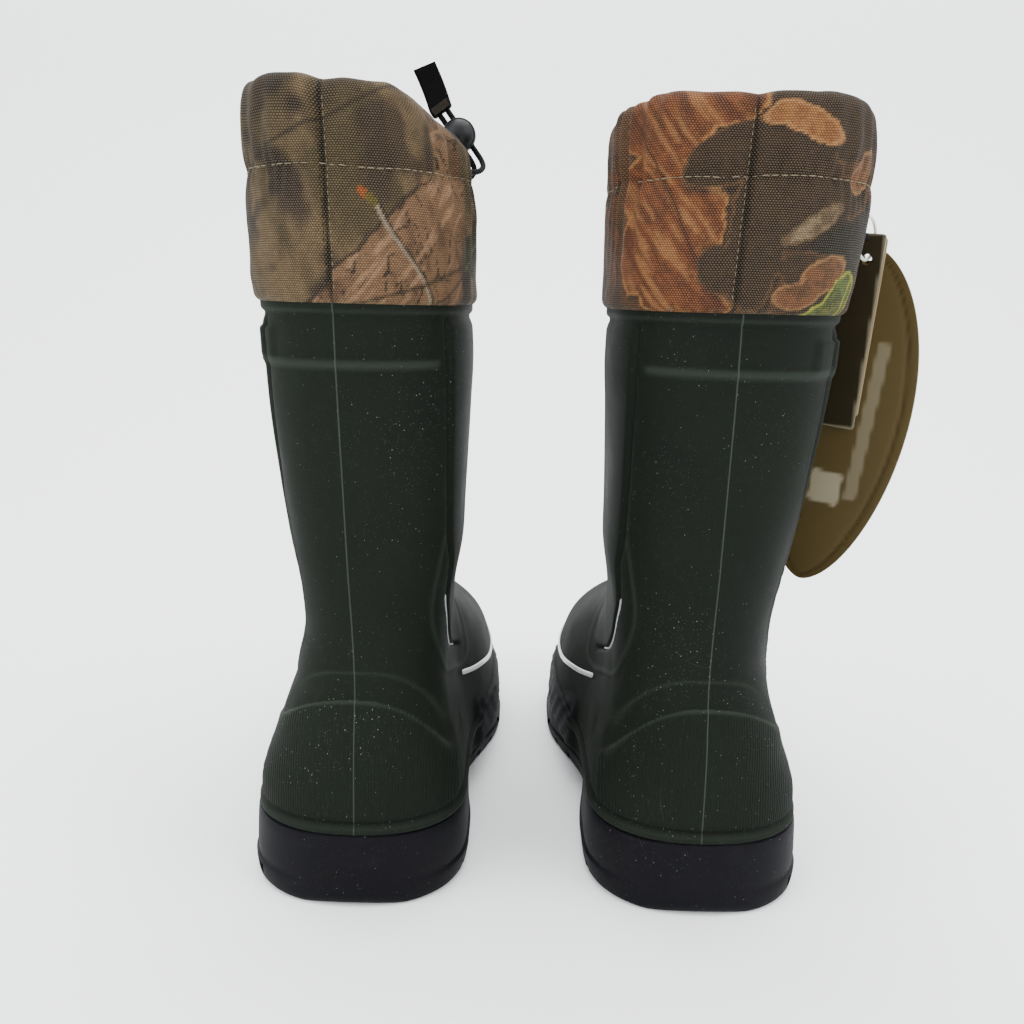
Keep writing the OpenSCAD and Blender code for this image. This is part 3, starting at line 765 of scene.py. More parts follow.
def shell_relief(p, shape):
    """Height of the moulded detail over the plain shell, and the three marks that its finish reads."""
    x, y, z = p[..., 0], p[..., 1], p[..., 2]
    ax = np.abs(x)
    rear = y < 70
    pad_top = 90 - np.where(x > 0, 23, 34) * (ax / 41) ** 2.3
    arc_top = 102.4 - 45 * (ax / 41) ** 3
    pad_side = 30 + 0.45 * (z - 36)
    in_pad = np.where(rear, ramp(pad_top - z, -0.6, 0.9) * ramp(pad_side - y, -0.8, 0.8), 0)
    in_arc = np.where(rear, ramp(arc_top - z, -1.2, 1.2), 0)
    above = ramp(z, 36.2, 38.2)
    d = 0.75 * in_pad * above - 0.7 * in_arc * (1 - in_pad) * ramp(z, 46, 62)
    # ledge under the pad and the groove between them
    ledge = ramp(z, 37.2, 36.2)
    d += shape.ledge_height * ledge
    d -= 1.1 * np.exp(-((z - 37.4) / 0.8) ** 2)
    d -= 2.4 * ramp(z, 32.6, 31.4) * ramp(y, 125, 108)
    # bead and rim round the shaft
    on_back = 1 - ramp(np.where(x < 0, y, -99), -6, -2) * (x < 0)
    bead = np.exp(-((z - 229.5) / 1.5) ** 4) * on_back
    d += shape.bead_height * bead
    rim = ramp(z, 247.6, 248.8)
    d += shape.rim_height * rim
    d -= 0.5 * np.exp(-((z - 246.6) / 0.9) ** 2)
    # raised plate on the outer side, joined to the bead
    plate = ramp(x, 24.5, 27.5) * ramp(z, 229, 230.2) * ramp(z, 242.4, 241.0) * ramp(y, 74, 70)
    plate = plate * ramp(x * 0.5 + (242 - z), 12.6, 14.2)
    d += 1.2 * plate * (1 - bead)
    # side panels
    flank = ramp(ax, 20, 26) * ramp(z, 246.8, 245.0)
    groove_at = line_distance(y, z, PANEL_LINE)
    groove = np.exp(-(groove_at / 0.85) ** 2) * flank
    ridge_at = line_distance(y, z, PANEL_RIDGE)
    ridge = np.exp(-(ridge_at / 1.1) ** 2) * flank * ramp(z, 190, 165)
    panel_edge = np.interp(z, [p[1] for p in PANEL_LINE[::-1]], [p[0] for p in PANEL_LINE[::-1]])
    panel = ramp(y - panel_edge, 0.4, 3.0) * ramp(z, 79, 84) * ramp(y, 132, 116) * flank * ramp(z, 246, 242)
    d += -1.3 * groove + 0.6 * ridge + 0.8 * panel
    # toe guard, with chevrons moulded along it
    guard_top = 47 - 9 * ramp(y, 120, 160) + 16 * ramp(y, 225, 285)
    guard = ramp(guard_top - z, -0.5, 0.7) * ramp(y, 112, 122)
    # Painted shade in the groove under the heel pad, everywhere but on the toe guard.
    groove_shade = np.exp(-((z - 37.4) / 0.9) ** 2) * (1 - guard)
    teeth = 0.5 + 0.5 * np.sign(np.sin(2 * np.pi * (y + 0.9 * (z - 30)) / 14.0))
    d += (0.9 + 0.6 * teeth * ramp(guard_top - z, 3.0, 4.0)) * guard
    # bands across the instep, where the shell flexes
    front = np.interp(z, [100, 125, 150, 180], [1.0, 1.0, 0.7, 0.0]) * ramp(y - front_line(z) + 34, 0, 22)
    flex = np.maximum(0, np.sin(2 * np.pi * (z - 0.35 * y) / 11.0)) ** 3
    d += 0.9 * flex * front * ramp(z, 92, 104)
    # Pale mark on the bead, the heel pad's top edge, the ledge edges, the panel ridge, the rim and the upper
    # arc: painted highlight where these edges catch the light, and rubbed wear.
    line = 0.8 + 1.6 * ramp(ax, 26, 40)
    pale_mark = np.clip(bead * 0.6 + 0.7 * np.exp(-((pad_top - z) / line) ** 2) * (in_pad > 0.02) * rear
                  * ramp(ax, 40, 36)
                  + 0.55 * np.exp(-((z - 36.1) / 0.7) ** 2) + 0.5 * np.exp(-((z - 33.4) / 0.6) ** 2)
                  + 0.5 * ridge + 0.35 * np.exp(-((z - 248.6) / 0.6) ** 2)
                  + 0.35 * np.exp(-((arc_top - z) / line) ** 2) * rear * ramp(z, 60, 75)
                  * ramp(ax, 40, 34), 0, 1)
    return d, np.stack([in_pad * above, pale_mark, groove_shade], axis=-1), guard


def make_shell(boot, shape):
    outer_z = heights(21, 253.4, 1.25)
    count = 116
    rings = outline_rings(boot, outer_z, np.zeros(len(outer_z)), count)
    normals = grid_normals(rings)
    relief, marks, guard = shell_relief(rings, shape)
    wave = 0.35 * (layered_noise(rings[..., 1] / 60 + 3, rings[..., 2] / 60, 5) - 0.5)
    rings = rings + (relief + wave)[..., None] * normals
    lip_z = np.array([253.4, 253.2, 252.0])
    lip = outline_rings(boot, lip_z, np.array([-0.4, 2.6, 5.2]), count)
    inner_z = np.array([240, 215, 185, 155, 125, 110, 98, 90, 82, 70, 56, 44, 38.4])
    inner = outline_rings(boot, inner_z, np.full(len(inner_z), 5.5), count)
    everything = np.concatenate([rings, lip, inner])
    rest = len(lip) + len(inner)
    cols = 2 * count
    obj = rings_mesh(f"{boot}_shell_moulding", boot, everything, MATERIAL["foam"])
    # The relief attribute carries the heel pad mask, the pale edge mark (painted highlight and rubbed wear)
    # and the painted groove shade.
    tint = np.concatenate([marks, np.zeros((rest, cols, 3))])
    point_colour(obj, "relief", tint)
    obj.data.materials.append(MATERIAL["rubber"])
    dark = np.concatenate([guard, np.zeros((rest, cols))]) > 0.5
    quad = dark[:-1] & dark[1:]
    quad = quad & np.roll(quad, -1, axis=1)
    index = np.zeros(len(obj.data.polygons), np.int32)
    index[:quad.size] = quad.ravel()
    obj.data.polygons.foreach_set("material_index", index)
    return finish_piece(obj, f"{boot}_boot", "olive_eva", f"{boot}_shell")


def surface_point(boot, y, z, side, lift):
    """A point on the boot's flank, lifted off the surface by lift."""
    e = 0.5
    x = half_width(boot, y, z, 0.0, side)
    dy = (half_width(boot, y + e, z, 0.0, side) - half_width(boot, y - e, z, 0.0, side)) / (2 * e)
    dz = (half_width(boot, y, z + e, 0.0, side) - half_width(boot, y, z - e, 0.0, side)) / (2 * e)
    n = np.stack([np.ones_like(x), -dy, -dz], axis=-1)
    n /= np.linalg.norm(n, axis=-1, keepdims=True)
    p = np.stack([x, y, z], axis=-1) + lift * n
    flip = np.array([side, 1, 1])
    return p * flip, n * flip


def flank_strip(name, boot, line, side, width, lift, material):
    """A narrow strip laid along a line of (y, z) points on one flank."""
    p = smooth_path(np.array([(0, a, b) for a, b in line], float), 1.6)
    points, normals = surface_point(boot, p[:, 1], p[:, 2], side, lift)
    path = world(points, boot)
    up = normals * np.array([SIDES[boot], 1, 1])
    return outward(swept(name, path, width * MM, 1.1 * MM, up, material, sides=12, power=0.6))


def make_reflectors(boot):
    pieces = []
    for side in (-1, 1):
        part = "inner" if side < 0 else "outer"
        pieces.append(flank_strip(f"{boot}_ankle_strip_{part}", boot, PANEL_LINE[6:-1], side, 0.9, -0.7,
                                  MATERIAL["film"]))
        pieces.append(flank_strip(f"{boot}_vamp_strip_{part}", boot, VAMP_LINE, side, 2.6, 0.35,
                                  MATERIAL["film"]))
    return finish_piece(joined(f"{boot}_reflective_strips", pieces), f"{boot}_boot", "reflective_film",
                        f"{boot}_reflectors")


# ---------------------------------------------------------------- outsoles

SOLE_SECTION = [(0.0, -2.2), (0.3, -1.4), (0.9, -0.7), (2.0, -0.1), (4.0, 0.4), (7.0, 0.9), (9.4, 1.0),
                (10.2, 0.4),
                (11.0, -0.1), (13.0, 0.1), (17.0, 0.1), (22.0, -0.1), (27.0, -0.3), (30.0, -0.5),
                (31.6, -0.9),
                (32.5, -2.2)]


def sole_bottom(y):
    return np.interp(y, [0, 5, 228, 242, 256, 268, 280, 296], [2.5, 0, 0, 1.2, 3.5, 6.6, 11, 19])


def make_outsole(boot):
    count = 120
    k = (1 - np.cos(np.pi * np.arange(count + 1) / count)) / 2
    rows = []
    for h, grow in SOLE_SECTION:
        inset = -min(0, grow)
        y = inset + (SOLE_LENGTH - 2 * inset) * k
        shape = bulge((46 + inset - y) / 46, END_POWER) * bulge((y - SOLE_LENGTH + inset + 92) / 92,
                                                                TOE_POWER)
        outer = (SOLE[1](y) + grow) * shape
        inner = (SOLE[-1](y) + grow) * shape
        low, high = sole_bottom(y), sole_top(y)
        z = low + (high - low) * h / 32.5
        x = np.concatenate([outer, -inner[-2:0:-1]])
        rows.append(np.stack([x, np.concatenate([y, y[-2:0:-1]]), np.concatenate([z, z[-2:0:-1]])], axis=1))
    obj = rings_mesh(f"{boot}_outsole_tread", boot, np.array(rows), MATERIAL["rubber"])
    cutter = tread_cutter(boot)
    apply_modifier(obj, "BOOLEAN", object=cutter, operation="DIFFERENCE", solver="EXACT", use_self=True)
    bpy.data.objects.remove(cutter)
    only(obj)
    bpy.ops.object.shade_smooth_by_angle(angle=math.radians(32))
    return finish_piece(obj, f"{boot}_boot", "black_rubber", f"{boot}_outsole")


def wedge(centre, size, turn, lean=0.0):
    """A box cutter in a boot's own frame, narrower at its top."""
    sx, sy, sz = [s / 2 for s in size]
    corners = [(-sx, -sy, -sz), (sx, -sy, -sz), (sx, sy, -sz), (-sx, sy, -sz)]
    top = [(-sx, -sy * (1 - lean), sz), (sx, -sy * (1 - lean), sz), (sx, sy * (1 - lean), sz),
           (-sx, sy * (1 - lean), sz)]
    c, s = math.cos(turn), math.sin(turn)
    points = [(c * x - s * y + centre[0], s * x + c * y + centre[1], z + centre[2]) for x, y, z in corners
              + top]
    faces = [[3, 2, 1, 0], [4, 5, 6, 7], [0, 1, 5, 4], [1, 2, 6, 5], [2, 3, 7, 6], [3, 0, 4, 7]]
    return points, faces


def tread_cutter(boot):
    """Chevron grooves, a centre channel, the arch step and the small pocket at the heel's outer side."""
    blocks = []
    for y in [24, 42, 58] + list(range(136, 276, 17)):
        low = float(sole_bottom(y))
        for side in (-1, 1):
            blocks.append(wedge((side * 30, y + 5, low + 1.6), (52, 5.0, 6.8), side * 0.28, 0.35))
        blocks.append(wedge((0, y - 5, low + 1.3), (19, 4.0, 5.8), 0.0, 0.3))
    blocks.append(wedge((0, 97, 0.6), (150, 36, 7.4), 0.0, 0.12))
    blocks.append(wedge((47.5, 21, 6.2), (11, 9, 4.6), 0.3, 0.2))
    for y in (150, 184, 218, 248):
        low = float(sole_bottom(y))
        for side in (-1, 1):
            blocks.append(wedge((side * 56, y, low + 6.0), (9, 5.5, 5.0), 0.0, 0.2))
    vertices, faces = [], []
    for points, quads in blocks:
        base = len(vertices)
        vertices += points
        faces += [[base + i for i in q] for q in quads]
    if SIDES[boot] < 0:
        faces = [f[::-1] for f in faces]
    return build(f"{boot}_tread_cutter", world(vertices, boot), faces, MATERIAL["rubber"], smooth=False)


# ---------------------------------------------------------------- collars

def leaf_field(u, v, centre, angle, length, width, lobes, depth, seed):
    """Height inside a lobed leaf, in its own units: above 0 inside; and its place along and across."""
    c, s = math.cos(angle), math.sin(angle)
    warp = 2.0 * (layered_noise(u / 9, v / 9, seed, 3) - 0.5)
    du, dv = u - centre[0] + warp * 1.6, v - centre[1] + warp * 1.6
    along, across = (c * du + s * dv) / length, (-s * du + c * dv) / width
    body = np.clip(1 - along ** 2, 0, 1) ** 0.6 * (1 - 0.25 * along)
    edge = body * (1 - depth + depth * np.abs(np.sin(np.pi * lobes * (along * 0.5 + 0.5) + 0.35
                                                     * np.sign(across))))
    return edge - np.abs(across), along, across


def blend_colour(picture, mask, tint):
    mask = np.clip(mask, 0, 1)[..., None]
    return picture * (1 - mask) + np.asarray(tint[:3])[None, None, :] * mask


def paint_leaf(picture, u, v, body, rim, shade, vein, **place):
    inside, along, across = leaf_field(u, v, **place)
    mask = ramp(inside, 0.0, 0.05)
    mottled = layered_noise(u / 4.5, v / 4.5, place["seed"] + 11, 4)
    picture = blend_colour(picture, ramp(inside, -0.10, 0.0) * 0.75, shade)
    picture = blend_colour(picture, mask, rim)
    picture = blend_colour(picture, mask * ramp(inside, 0.04, 0.22) * (0.35 + 0.75 * mottled), body)
    picture = blend_colour(picture, mask * ramp(mottled, 0.56, 0.72) * 0.55, shade)
    middle = np.exp(-(across * place["width"] / 0.55) ** 2) * mask
    ribs = np.exp(-((np.mod(along * 5 - np.abs(across) * 1.6, 1.0) - 0.5) * 9) ** 2) * mask * 0.5
    picture = blend_colour(picture, 0.75 * middle + ribs * (np.abs(across) > 0.03), vein)
    return picture


def soft_forest(u, v, seed, tan, olive, shadow):
    """An out-of-focus wood: slanting pale and dark patches."""
    slant = u * 0.94 + v * 0.34, v * 0.94 - u * 0.34
    a = layered_noise(slant[0] / 11, slant[1] / 32, seed, 3)
    b = layered_noise(u / 19 + 4, v / 15, seed + 9, 3)
    picture = np.zeros((*u.shape, 3)) + np.asarray(tan[:3])
    picture = blend_colour(picture, ramp(a, 0.42, 0.68), olive)
    picture = blend_colour(picture, ramp(b, 0.56, 0.76) * 0.92, shadow)
    fine = layered_noise(u / 3, v / 3, seed + 21, 3)
    return picture * (0.82 + 0.36 * fine)[..., None]


def bark(picture, u, v, mask, seed, pale, deep):
    """Cracked bark laid over the picture where mask says."""
    plate = layered_noise(u / 5 + v / 24, v / 9, seed, 4)
    crack = np.abs(layered_noise(u / 7 + v / 30, v / 17, seed + 3, 4) - 0.5)
    picture = blend_colour(picture, mask, pale)
    picture = blend_colour(picture, mask * ramp(plate, 0.45, 0.7) * 0.6, deep)
    return blend_colour(picture, mask * ramp(crack, 0.022, 0.006), colour(30, 20, 16))


PALE_WOOD, OLIVE_WOOD, DARK_WOOD = colour(128, 110, 82), colour(96, 84, 58), colour(50, 40, 32)
BARK_PALE, BARK_DEEP = colour(146, 116, 88), colour(84, 60, 44)
OAK, OAK_RIM, OAK_VEIN = colour(146, 92, 54), colour(186, 138, 88), colour(104, 60, 32)
UMBER, UMBER_RIM, UMBER_VEIN = colour(80, 62, 44), colour(176, 134, 92), colour(44, 30, 26)
PINE, MOSS, MOSS_VEIN = colour(36, 40, 34), colour(112, 130, 66), colour(186, 186, 74)


def lobed_field(u, v, lobes, seed, rough=0.3):
    """Above 0 inside the union of some turned ovals with a ragged edge."""
    warp = rough * (layered_noise(u / 3.6, v / 3.6, seed, 4) - 0.5)
    field = np.full(u.shape, -9.0)
    for cu, cv, long, short, turn in lobes:
        c, s = math.cos(turn), math.sin(turn)
        a, b = (c * (u - cu) + s * (v - cv)) / long, (-s * (u - cu) + c * (v - cv)) / short
        field = np.maximum(field, (1 - np.hypot(a, b)) * min(long, short) / 8)
    return field + warp


def paint_lobes(picture, u, v, lobes, body, border, shade, seed, edge=0.2):
    """A leaf made of ovals, with a paler border round it and a shadow under it."""
    field = lobed_field(u, v, lobes, seed)
    picture = blend_colour(picture, ramp(lobed_field(u - 1.6, v + 1.8, lobes, seed), -0.25, 0.05) * 0.85,
                           DARK_WOOD)
    picture = blend_colour(picture, ramp(field, -edge - 0.03, -edge + 0.03), border)
    mottled = layered_noise(u / 3.4, v / 3.4, seed + 3, 4)
    picture = blend_colour(picture, ramp(field, -0.02, 0.03), body)
    picture = blend_colour(picture, ramp(field, 0.0, 0.05) * ramp(mottled, 0.45, 0.65) * 0.6, shade)
    return blend_colour(picture, ramp(field, -edge, 0) * ramp(mottled, 0.62, 0.75) * 0.25, border)


def streaks(u, v, seed, turn):
    """Fine crinkles across a turned direction, from 0 to 1."""
    c, s = math.cos(turn), math.sin(turn)
    a, b = c * u + s * v, -s * u + c * v
    return layered_noise(a / 14, b / 2.1, seed, 3)


def left_print(u, v):
    """Blurred wood, then a bark trunk with a twig and a bud to the right of the back seam."""
    picture = soft_forest(u, v, 31, PALE_WOOD, OLIVE_WOOD, DARK_WOOD)
    dark = ramp(layered_noise(u / 16 + 9, v / 20 + 2, 88, 3), 0.5, 0.66) * ramp(v, 20, 34)
    picture = blend_colour(picture, dark * 0.75, colour(66, 52, 44))
    rise = 4 + 1.02 * (u + 10) - v + 7 * (layered_noise(u / 7, v / 7, 3) - 0.5)
    trunk = ramp(rise, -1.5, 1.0) * ramp(u, 46, 41) * ramp(v, 49, 43)
    trunk = np.maximum(trunk, ramp(u, 37, 39) * ramp(u, 57, 52))
    picture = bark(picture, u, v, trunk, 41, BARK_PALE, BARK_DEEP)
    glint = ramp(streaks(u, v, 47, 0.9), 0.58, 0.74) * trunk
    picture = blend_colour(picture, glint * 0.55, colour(196, 160, 130))
    picture = blend_colour(picture, ramp(np.abs(rise), 1.6, 0.5) * ramp(v, 47, 42) * ramp(u, 44, 40) * 0.8,
                           DARK_WOOD)
    fold = ramp(np.sin(u / 2.9 + 1.5 * layered_noise(u / 9, v / 30, 13)), 0.3, 0.9) * ramp(u, 40, 46)
    picture = blend_colour(picture, fold * 0.75, colour(44, 30, 26))
    twig_u = 12.5 + 0.62 * (38 - v) + 1.2 * np.sin(v / 6)
    picture = blend_colour(picture, ramp(np.abs(u - twig_u - 1.1), 0.9, 0.4) * ramp(v, 38, 36),
                           colour(40, 28, 22))
    picture = blend_colour(picture, ramp(np.abs(u - twig_u), 1.0, 0.5) * ramp(v, 38, 36),
                           colour(172, 156, 136))
    for cu, cv, turn, tint in ((10.4, 40.2, 2.2, colour(176, 98, 34)),
                               (12.0, 37.8, 1.9, colour(116, 104, 44))):
        inside = leaf_field(u, v, (cu, cv), turn, 3.4, 1.7, 1, 0.1, 51)[0]
        picture = blend_colour(picture, ramp(inside, 0, 0.15), tint)
    for cu, cv, turn in ((74, 26, 0.6), (92, 50, 2.0), (118, 22, 1.1)):
        picture = paint_leaf(picture, u, v, PINE, UMBER, DARK_WOOD, MOSS, centre=(cu, cv), angle=turn,
                             length=19,
                             width=10, lobes=3, depth=0.3, seed=int(cu))
    for cu, cv, turn in ((-104, 22, 0.4), (-90, 50, 2.4), (150, 46, 0.3), (-140, 30, 1.2)):
        picture = paint_leaf(picture, u, v, OAK, OAK_RIM, DARK_WOOD, OAK_VEIN, centre=(cu, cv), angle=turn,
                             length=24,
                             width=13, lobes=4, depth=0.35, seed=int(cu) + 200)
    return picture


OAK_LOBES = [(-30, 27, 27, 15, 1.25), (-42, 47, 15, 12, 0.4), (-19, 10, 15, 11, 0.6), (-46, 24, 16, 10, 1.2),
             (-28, 52, 14, 9, 0.1), (-38, 68, 22, 13, 0.1), (-16, 73, 14, 8, 0.2)]
UMBER_LOBES = [(-10, 56, 19, 9, 0.45), (8, 52, 20, 10, -0.1), (-2, 27, 25, 9.5, 1.5), (12, 34, 14, 8, 0.5),
               (29, 42, 19, 6.5, 0.1), (20, 17, 13, 6, -0.1), (-14, 17, 8, 7, 2.0)]
RIGHT_LEAVES = [
    ([(26, 72, 32, 15, 0.0), (-4, 60, 12, 8, 0.6)], UMBER, UMBER, colour(56, 42, 36)),
    (OAK_LOBES, OAK, OAK_RIM, OAK_VEIN),
    ([(42, 30, 17, 13, 0.4), (30, 27, 13, 5, 0.2)], PINE, colour(40, 44, 34), colour(20, 22, 18)),
    (UMBER_LOBES, UMBER, colour(112, 84, 60), colour(56, 42, 36)),
    ([(14, 66, 12, 4.2, -0.35), (5, 69, 6, 3.4, 0.1)], colour(176, 128, 80), colour(196, 150, 102), OAK),
    ([(44, 52, 9, 4.5, 0.7)], colour(150, 112, 82), colour(176, 140, 104), UMBER),
    ([(19, 33, 10, 3.2, 0.55)], colour(158, 140, 112), colour(120, 100, 76), UMBER),
    ([(27, 16, 11, 5.5, 0.35), (16, 9, 9, 4, 0.2)], colour(142, 100, 68), colour(170, 132, 92), UMBER),
    ([(40, 9, 11, 7, 0.5), (30, 3, 9, 3.5, 0.2)], MOSS, MOSS_VEIN, PINE),
]


def right_print(u, v):
    """Oak leaves to the left of the back seam, umber lobed leaves over it, and green low on the right."""
    picture = soft_forest(u, v, 77, colour(112, 82, 58), UMBER, DARK_WOOD)
    for n, (lobes, body, border, shade) in enumerate(RIGHT_LEAVES):
        picture = paint_lobes(picture, u, v, lobes, body, border, shade, 500 + 7 * n, 0.1)
    oak = ramp(lobed_field(u, v, OAK_LOBES, 507), 0.0,
               0.05) * (1 - ramp(lobed_field(u, v, UMBER_LOBES, 521), -0.1, 0))
    crinkle = streaks(u, v, 91, 2.3)
    picture = blend_colour(picture, oak * ramp(crinkle, 0.52, 0.7) * 0.5, colour(196, 152, 104))
    picture = blend_colour(picture, oak * ramp(crinkle, 0.42, 0.3) * 0.6, colour(100, 54, 30))
    rib = u + 44 + 0.62 * (v - 58) + 1.5 * np.sin(v / 9)
    picture = blend_colour(picture, oak * ramp(np.abs(rib), 1.1, 0.5) * 0.9, colour(96, 54, 32))
    green = ramp(lobed_field(u, v, RIGHT_LEAVES[-1][0], 556), 0, 0.05)
    picture = blend_colour(picture, green * ramp(np.abs(u - 44 - 0.5 * (v - 9)), 0.9, 0.4), MOSS_VEIN)
    leaves = [((88, 42), 2.1, 28, 14, OAK, OAK_RIM), ((112, 16), 0.6, 22, 12, UMBER, UMBER_RIM),
              ((-78, 34), 1.7, 34, 15, UMBER, OAK), ((-112, 22), 0.9, 26, 13, UMBER, UMBER_RIM),
              ((-136, 48), 2.4, 24, 12, OAK, OAK_RIM), ((150, 40), 1.3, 24, 12, MOSS, MOSS_VEIN)]
    for n, (centre, turn, length, width, body, rim) in enumerate(leaves):
        picture = paint_leaf(picture, u, v, body, rim, DARK_WOOD, rim, centre=centre, angle=turn,
                             length=length,
                             width=width, lobes=4, depth=0.32, seed=300 + n)
    return picture


COLLAR_PROFILE = [(250.6, 0.4), (251.2, -1.2), (252.4, -2.4), (254.0, -3.0), (257.0, -3.2), (262.0, -3.3),
                  (270.0, -3.4),
                  (280.0, -3.5), (288.0, -3.4), (293.0, -3.1), (295.6, -2.8), (297.0, -2.5), (298.4, -2.8),
                  (301.0, -3.3), (305.0, -3.7), (311.0, -3.9), (317.0, -3.9), (321.4, -3.4), (324.2, -1.8),
                  (325.2, 0.6), (325.2, 2.8), (324.4, 4.8), (322.8, 6.2), (319.0, 6.9), (311.0, 6.9),
                  (301.0, 6.8),
                  (290.0, 6.8)]
STITCH_Z = 297.0


def collar_path(step):
    """Height and inset along the collar's section, about step apart."""
    p = smooth_path(np.array([(z, t, 0) for z, t in COLLAR_PROFILE], float), step)
    return p[:, 0], p[:, 1]


def seam_offset(u, z, boot):
    """Cloth distance from the back seam, which leans a little on each boot."""
    low, high = SEAM_SLANT[boot]
    return u - low - (high - low) * ramp(z, 240, 340)


def slumped(points, boot):
    """The tightened cord pulls the left boot's rim down on its inner side."""
    if boot == "right":
        return points
    drop = 10.5 * ramp(-points[..., 0], 15, 37) - 2.2 * ramp(points[..., 0], -14, 16)
    lower = points.copy()
    lower[..., 2] -= drop * ramp(points[..., 2], 304, 327)
    return lower


def collar_wrinkles(u, z, outer, boot):
    """How far the cloth stands out, and how far the hem rises, from the gathers of the cord."""
    seed = 7 if boot == "left" else 19
    channel = np.exp(-((z - 311) / 11) ** 2)
    near = np.exp(-((z - STITCH_Z) / 9) ** 2)
    gather = np.sin(2 * np.pi * (u / 13.0 + 1.4 * layered_noise(u / 26, z / 90, seed, 2)))
    fine = np.sin(2 * np.pi * (u / 5.3 + 1.8 * layered_noise(u / 15, z / 40, seed + 3, 2)))
    slack = layered_noise(u / 24, z / 26, seed + 6, 3) - 0.5
    slant = layered_noise((u + 0.8 * z) / 16, (z - 0.5 * u) / 60, seed + 8, 2) - 0.5
    medial = np.exp(-((u + 62) / 22) ** 2)
    out = 0.55 * gather * channel + 0.35 * fine * near + 2.6 * slack * ramp(z, 254, 262) + 2.0 * slant * near
    out = out + medial * (1.3 * np.sin(2 * np.pi * u / 9.5) * ramp(z, 258, 300))
    off = seam_offset(u, z, boot)
    out = out - 1.1 * np.exp(-(off / 1.2) ** 2) * ramp(z, 253, 256)
    out = out + 0.5 * np.exp(-((np.abs(off) - 3.4) / 1.6) ** 2) * ramp(z, 254, 260)
    rise = 1.7 * (layered_noise(u / 20, 0 * u + 2.5, seed + 14, 2) - 0.5) * 2 - 1.6 * np.exp(-(off / 6) ** 2)
    return out * outer, rise * ramp(z, 300, 322)


def make_collar(boot):
    z, inset = collar_path(0.85)
    count = 210
    rings = outline_rings(boot, z, inset, count)
    cols = 2 * count
    middle = outline_rings(boot, [290.0], [-3.0], count)[0]
    run, total, half = around_length(middle)
    u = np.where(np.arange(cols) <= half, run[:cols], run[:cols] - total)
    section = np.concatenate([[0], np.cumsum(np.hypot(np.diff(z), np.diff(inset)))])
    uu, vv = np.meshgrid(u, section, indexing="xy")
    outer = ramp(inset, 3.0, -1.0)[:, None]
    stand, rise = collar_wrinkles(uu, rings[..., 2], outer, boot)
    normals = grid_normals(outline_rings(boot, z, np.zeros(len(z)), count))
    flat = normals * np.array([1, 1, 0.0])
    flat /= np.maximum(np.linalg.norm(flat, axis=2, keepdims=True), 1e-9)
    rings = rings + stand[..., None] * flat
    rings[..., 2] += rise
    rings = slumped(rings, boot)
    sway = uu * SIDES[boot]
    paint = (left_print if boot == "left" else right_print)(sway, vv)
    seam = ramp(np.abs(seam_offset(uu, rings[..., 2], boot)), 0.95, 0.4)
    paint = blend_colour(paint, seam * 0.95, colour(6, 5, 5))
    paint = blend_colour(paint, (ramp(np.abs(vv - section[-1]), 26, 24)), colour(30, 30, 28))
    edge = np.exp(-((vv - 2.2) / 1.4) ** 2) * ramp(layered_noise(uu / 1.2, vv / 1.2, 4, 2), 0.5, 0.7)
    paint = blend_colour(paint, edge * 0.35, colour(170, 158, 134))
    # the last row of the section joins the first, so the cloth is closed and has a back
    flip = SIDES[boot] < 0
    rows = len(z)
    faces = face_grid(rows, cols, flip)
    shut = [[j, (j + 1) % cols, (rows - 1) * cols + (j + 1) % cols, (rows - 1) * cols + j]
            for j in range(cols)]
    faces += shut if flip else [f[::-1] for f in shut]
    obj = build(f"{boot}_printed_collar", world(rings.reshape(-1, 3), boot), faces, MATERIAL["printed"])
    point_colour(obj, "print", 0.42 * paint ** 1.3)
    uv_from_points(obj, np.stack([uu.ravel(), vv.ravel()], axis=1) / 100)
    return finish_piece(obj, f"{boot}_boot", "printed_cloth", f"{boot}_collar")


def collar_surface(boot, u, z, lift):
    """Points on the dressed collar at cloth distance u from the back seam and height z."""
    count = 400
    u = np.atleast_1d(np.asarray(u, float))
    z = np.broadcast_to(np.asarray(z, float), u.shape)
    heights_z, insets = collar_path(0.85)
    last = int(np.argmax(heights_z > 324))
    inset = np.interp(z, heights_z[:last], insets[:last])
    middle = outline_rings(boot, [290.0], [-3.0], count)[0]
    run, total, _ = around_length(middle)
    k = np.interp(np.mod(u, total), run, np.arange(2 * count + 1))
    points = []
    stand, rise = collar_wrinkles(u, z, 1.0, boot)
    for ki, zi, ti, si, ri in zip(k, z, inset, stand, rise):
        ring = outline_rings(boot, [zi], [ti], count)[0]
        i = int(ki) % (2 * count)
        j = (i + 1) % (2 * count)
        f = ki - int(ki)
        p = ring[i] * (1 - f) + ring[j] * f
        along = ring[j] - ring[i]
        n = np.array([along[1], -along[0], 0.0])
        n /= np.linalg.norm(n)
        points.append((p + (si + lift) * n + np.array([0, 0, ri]), n))
    return slumped(np.array([p for p, n in points]), boot), np.array([n for p, n in points])


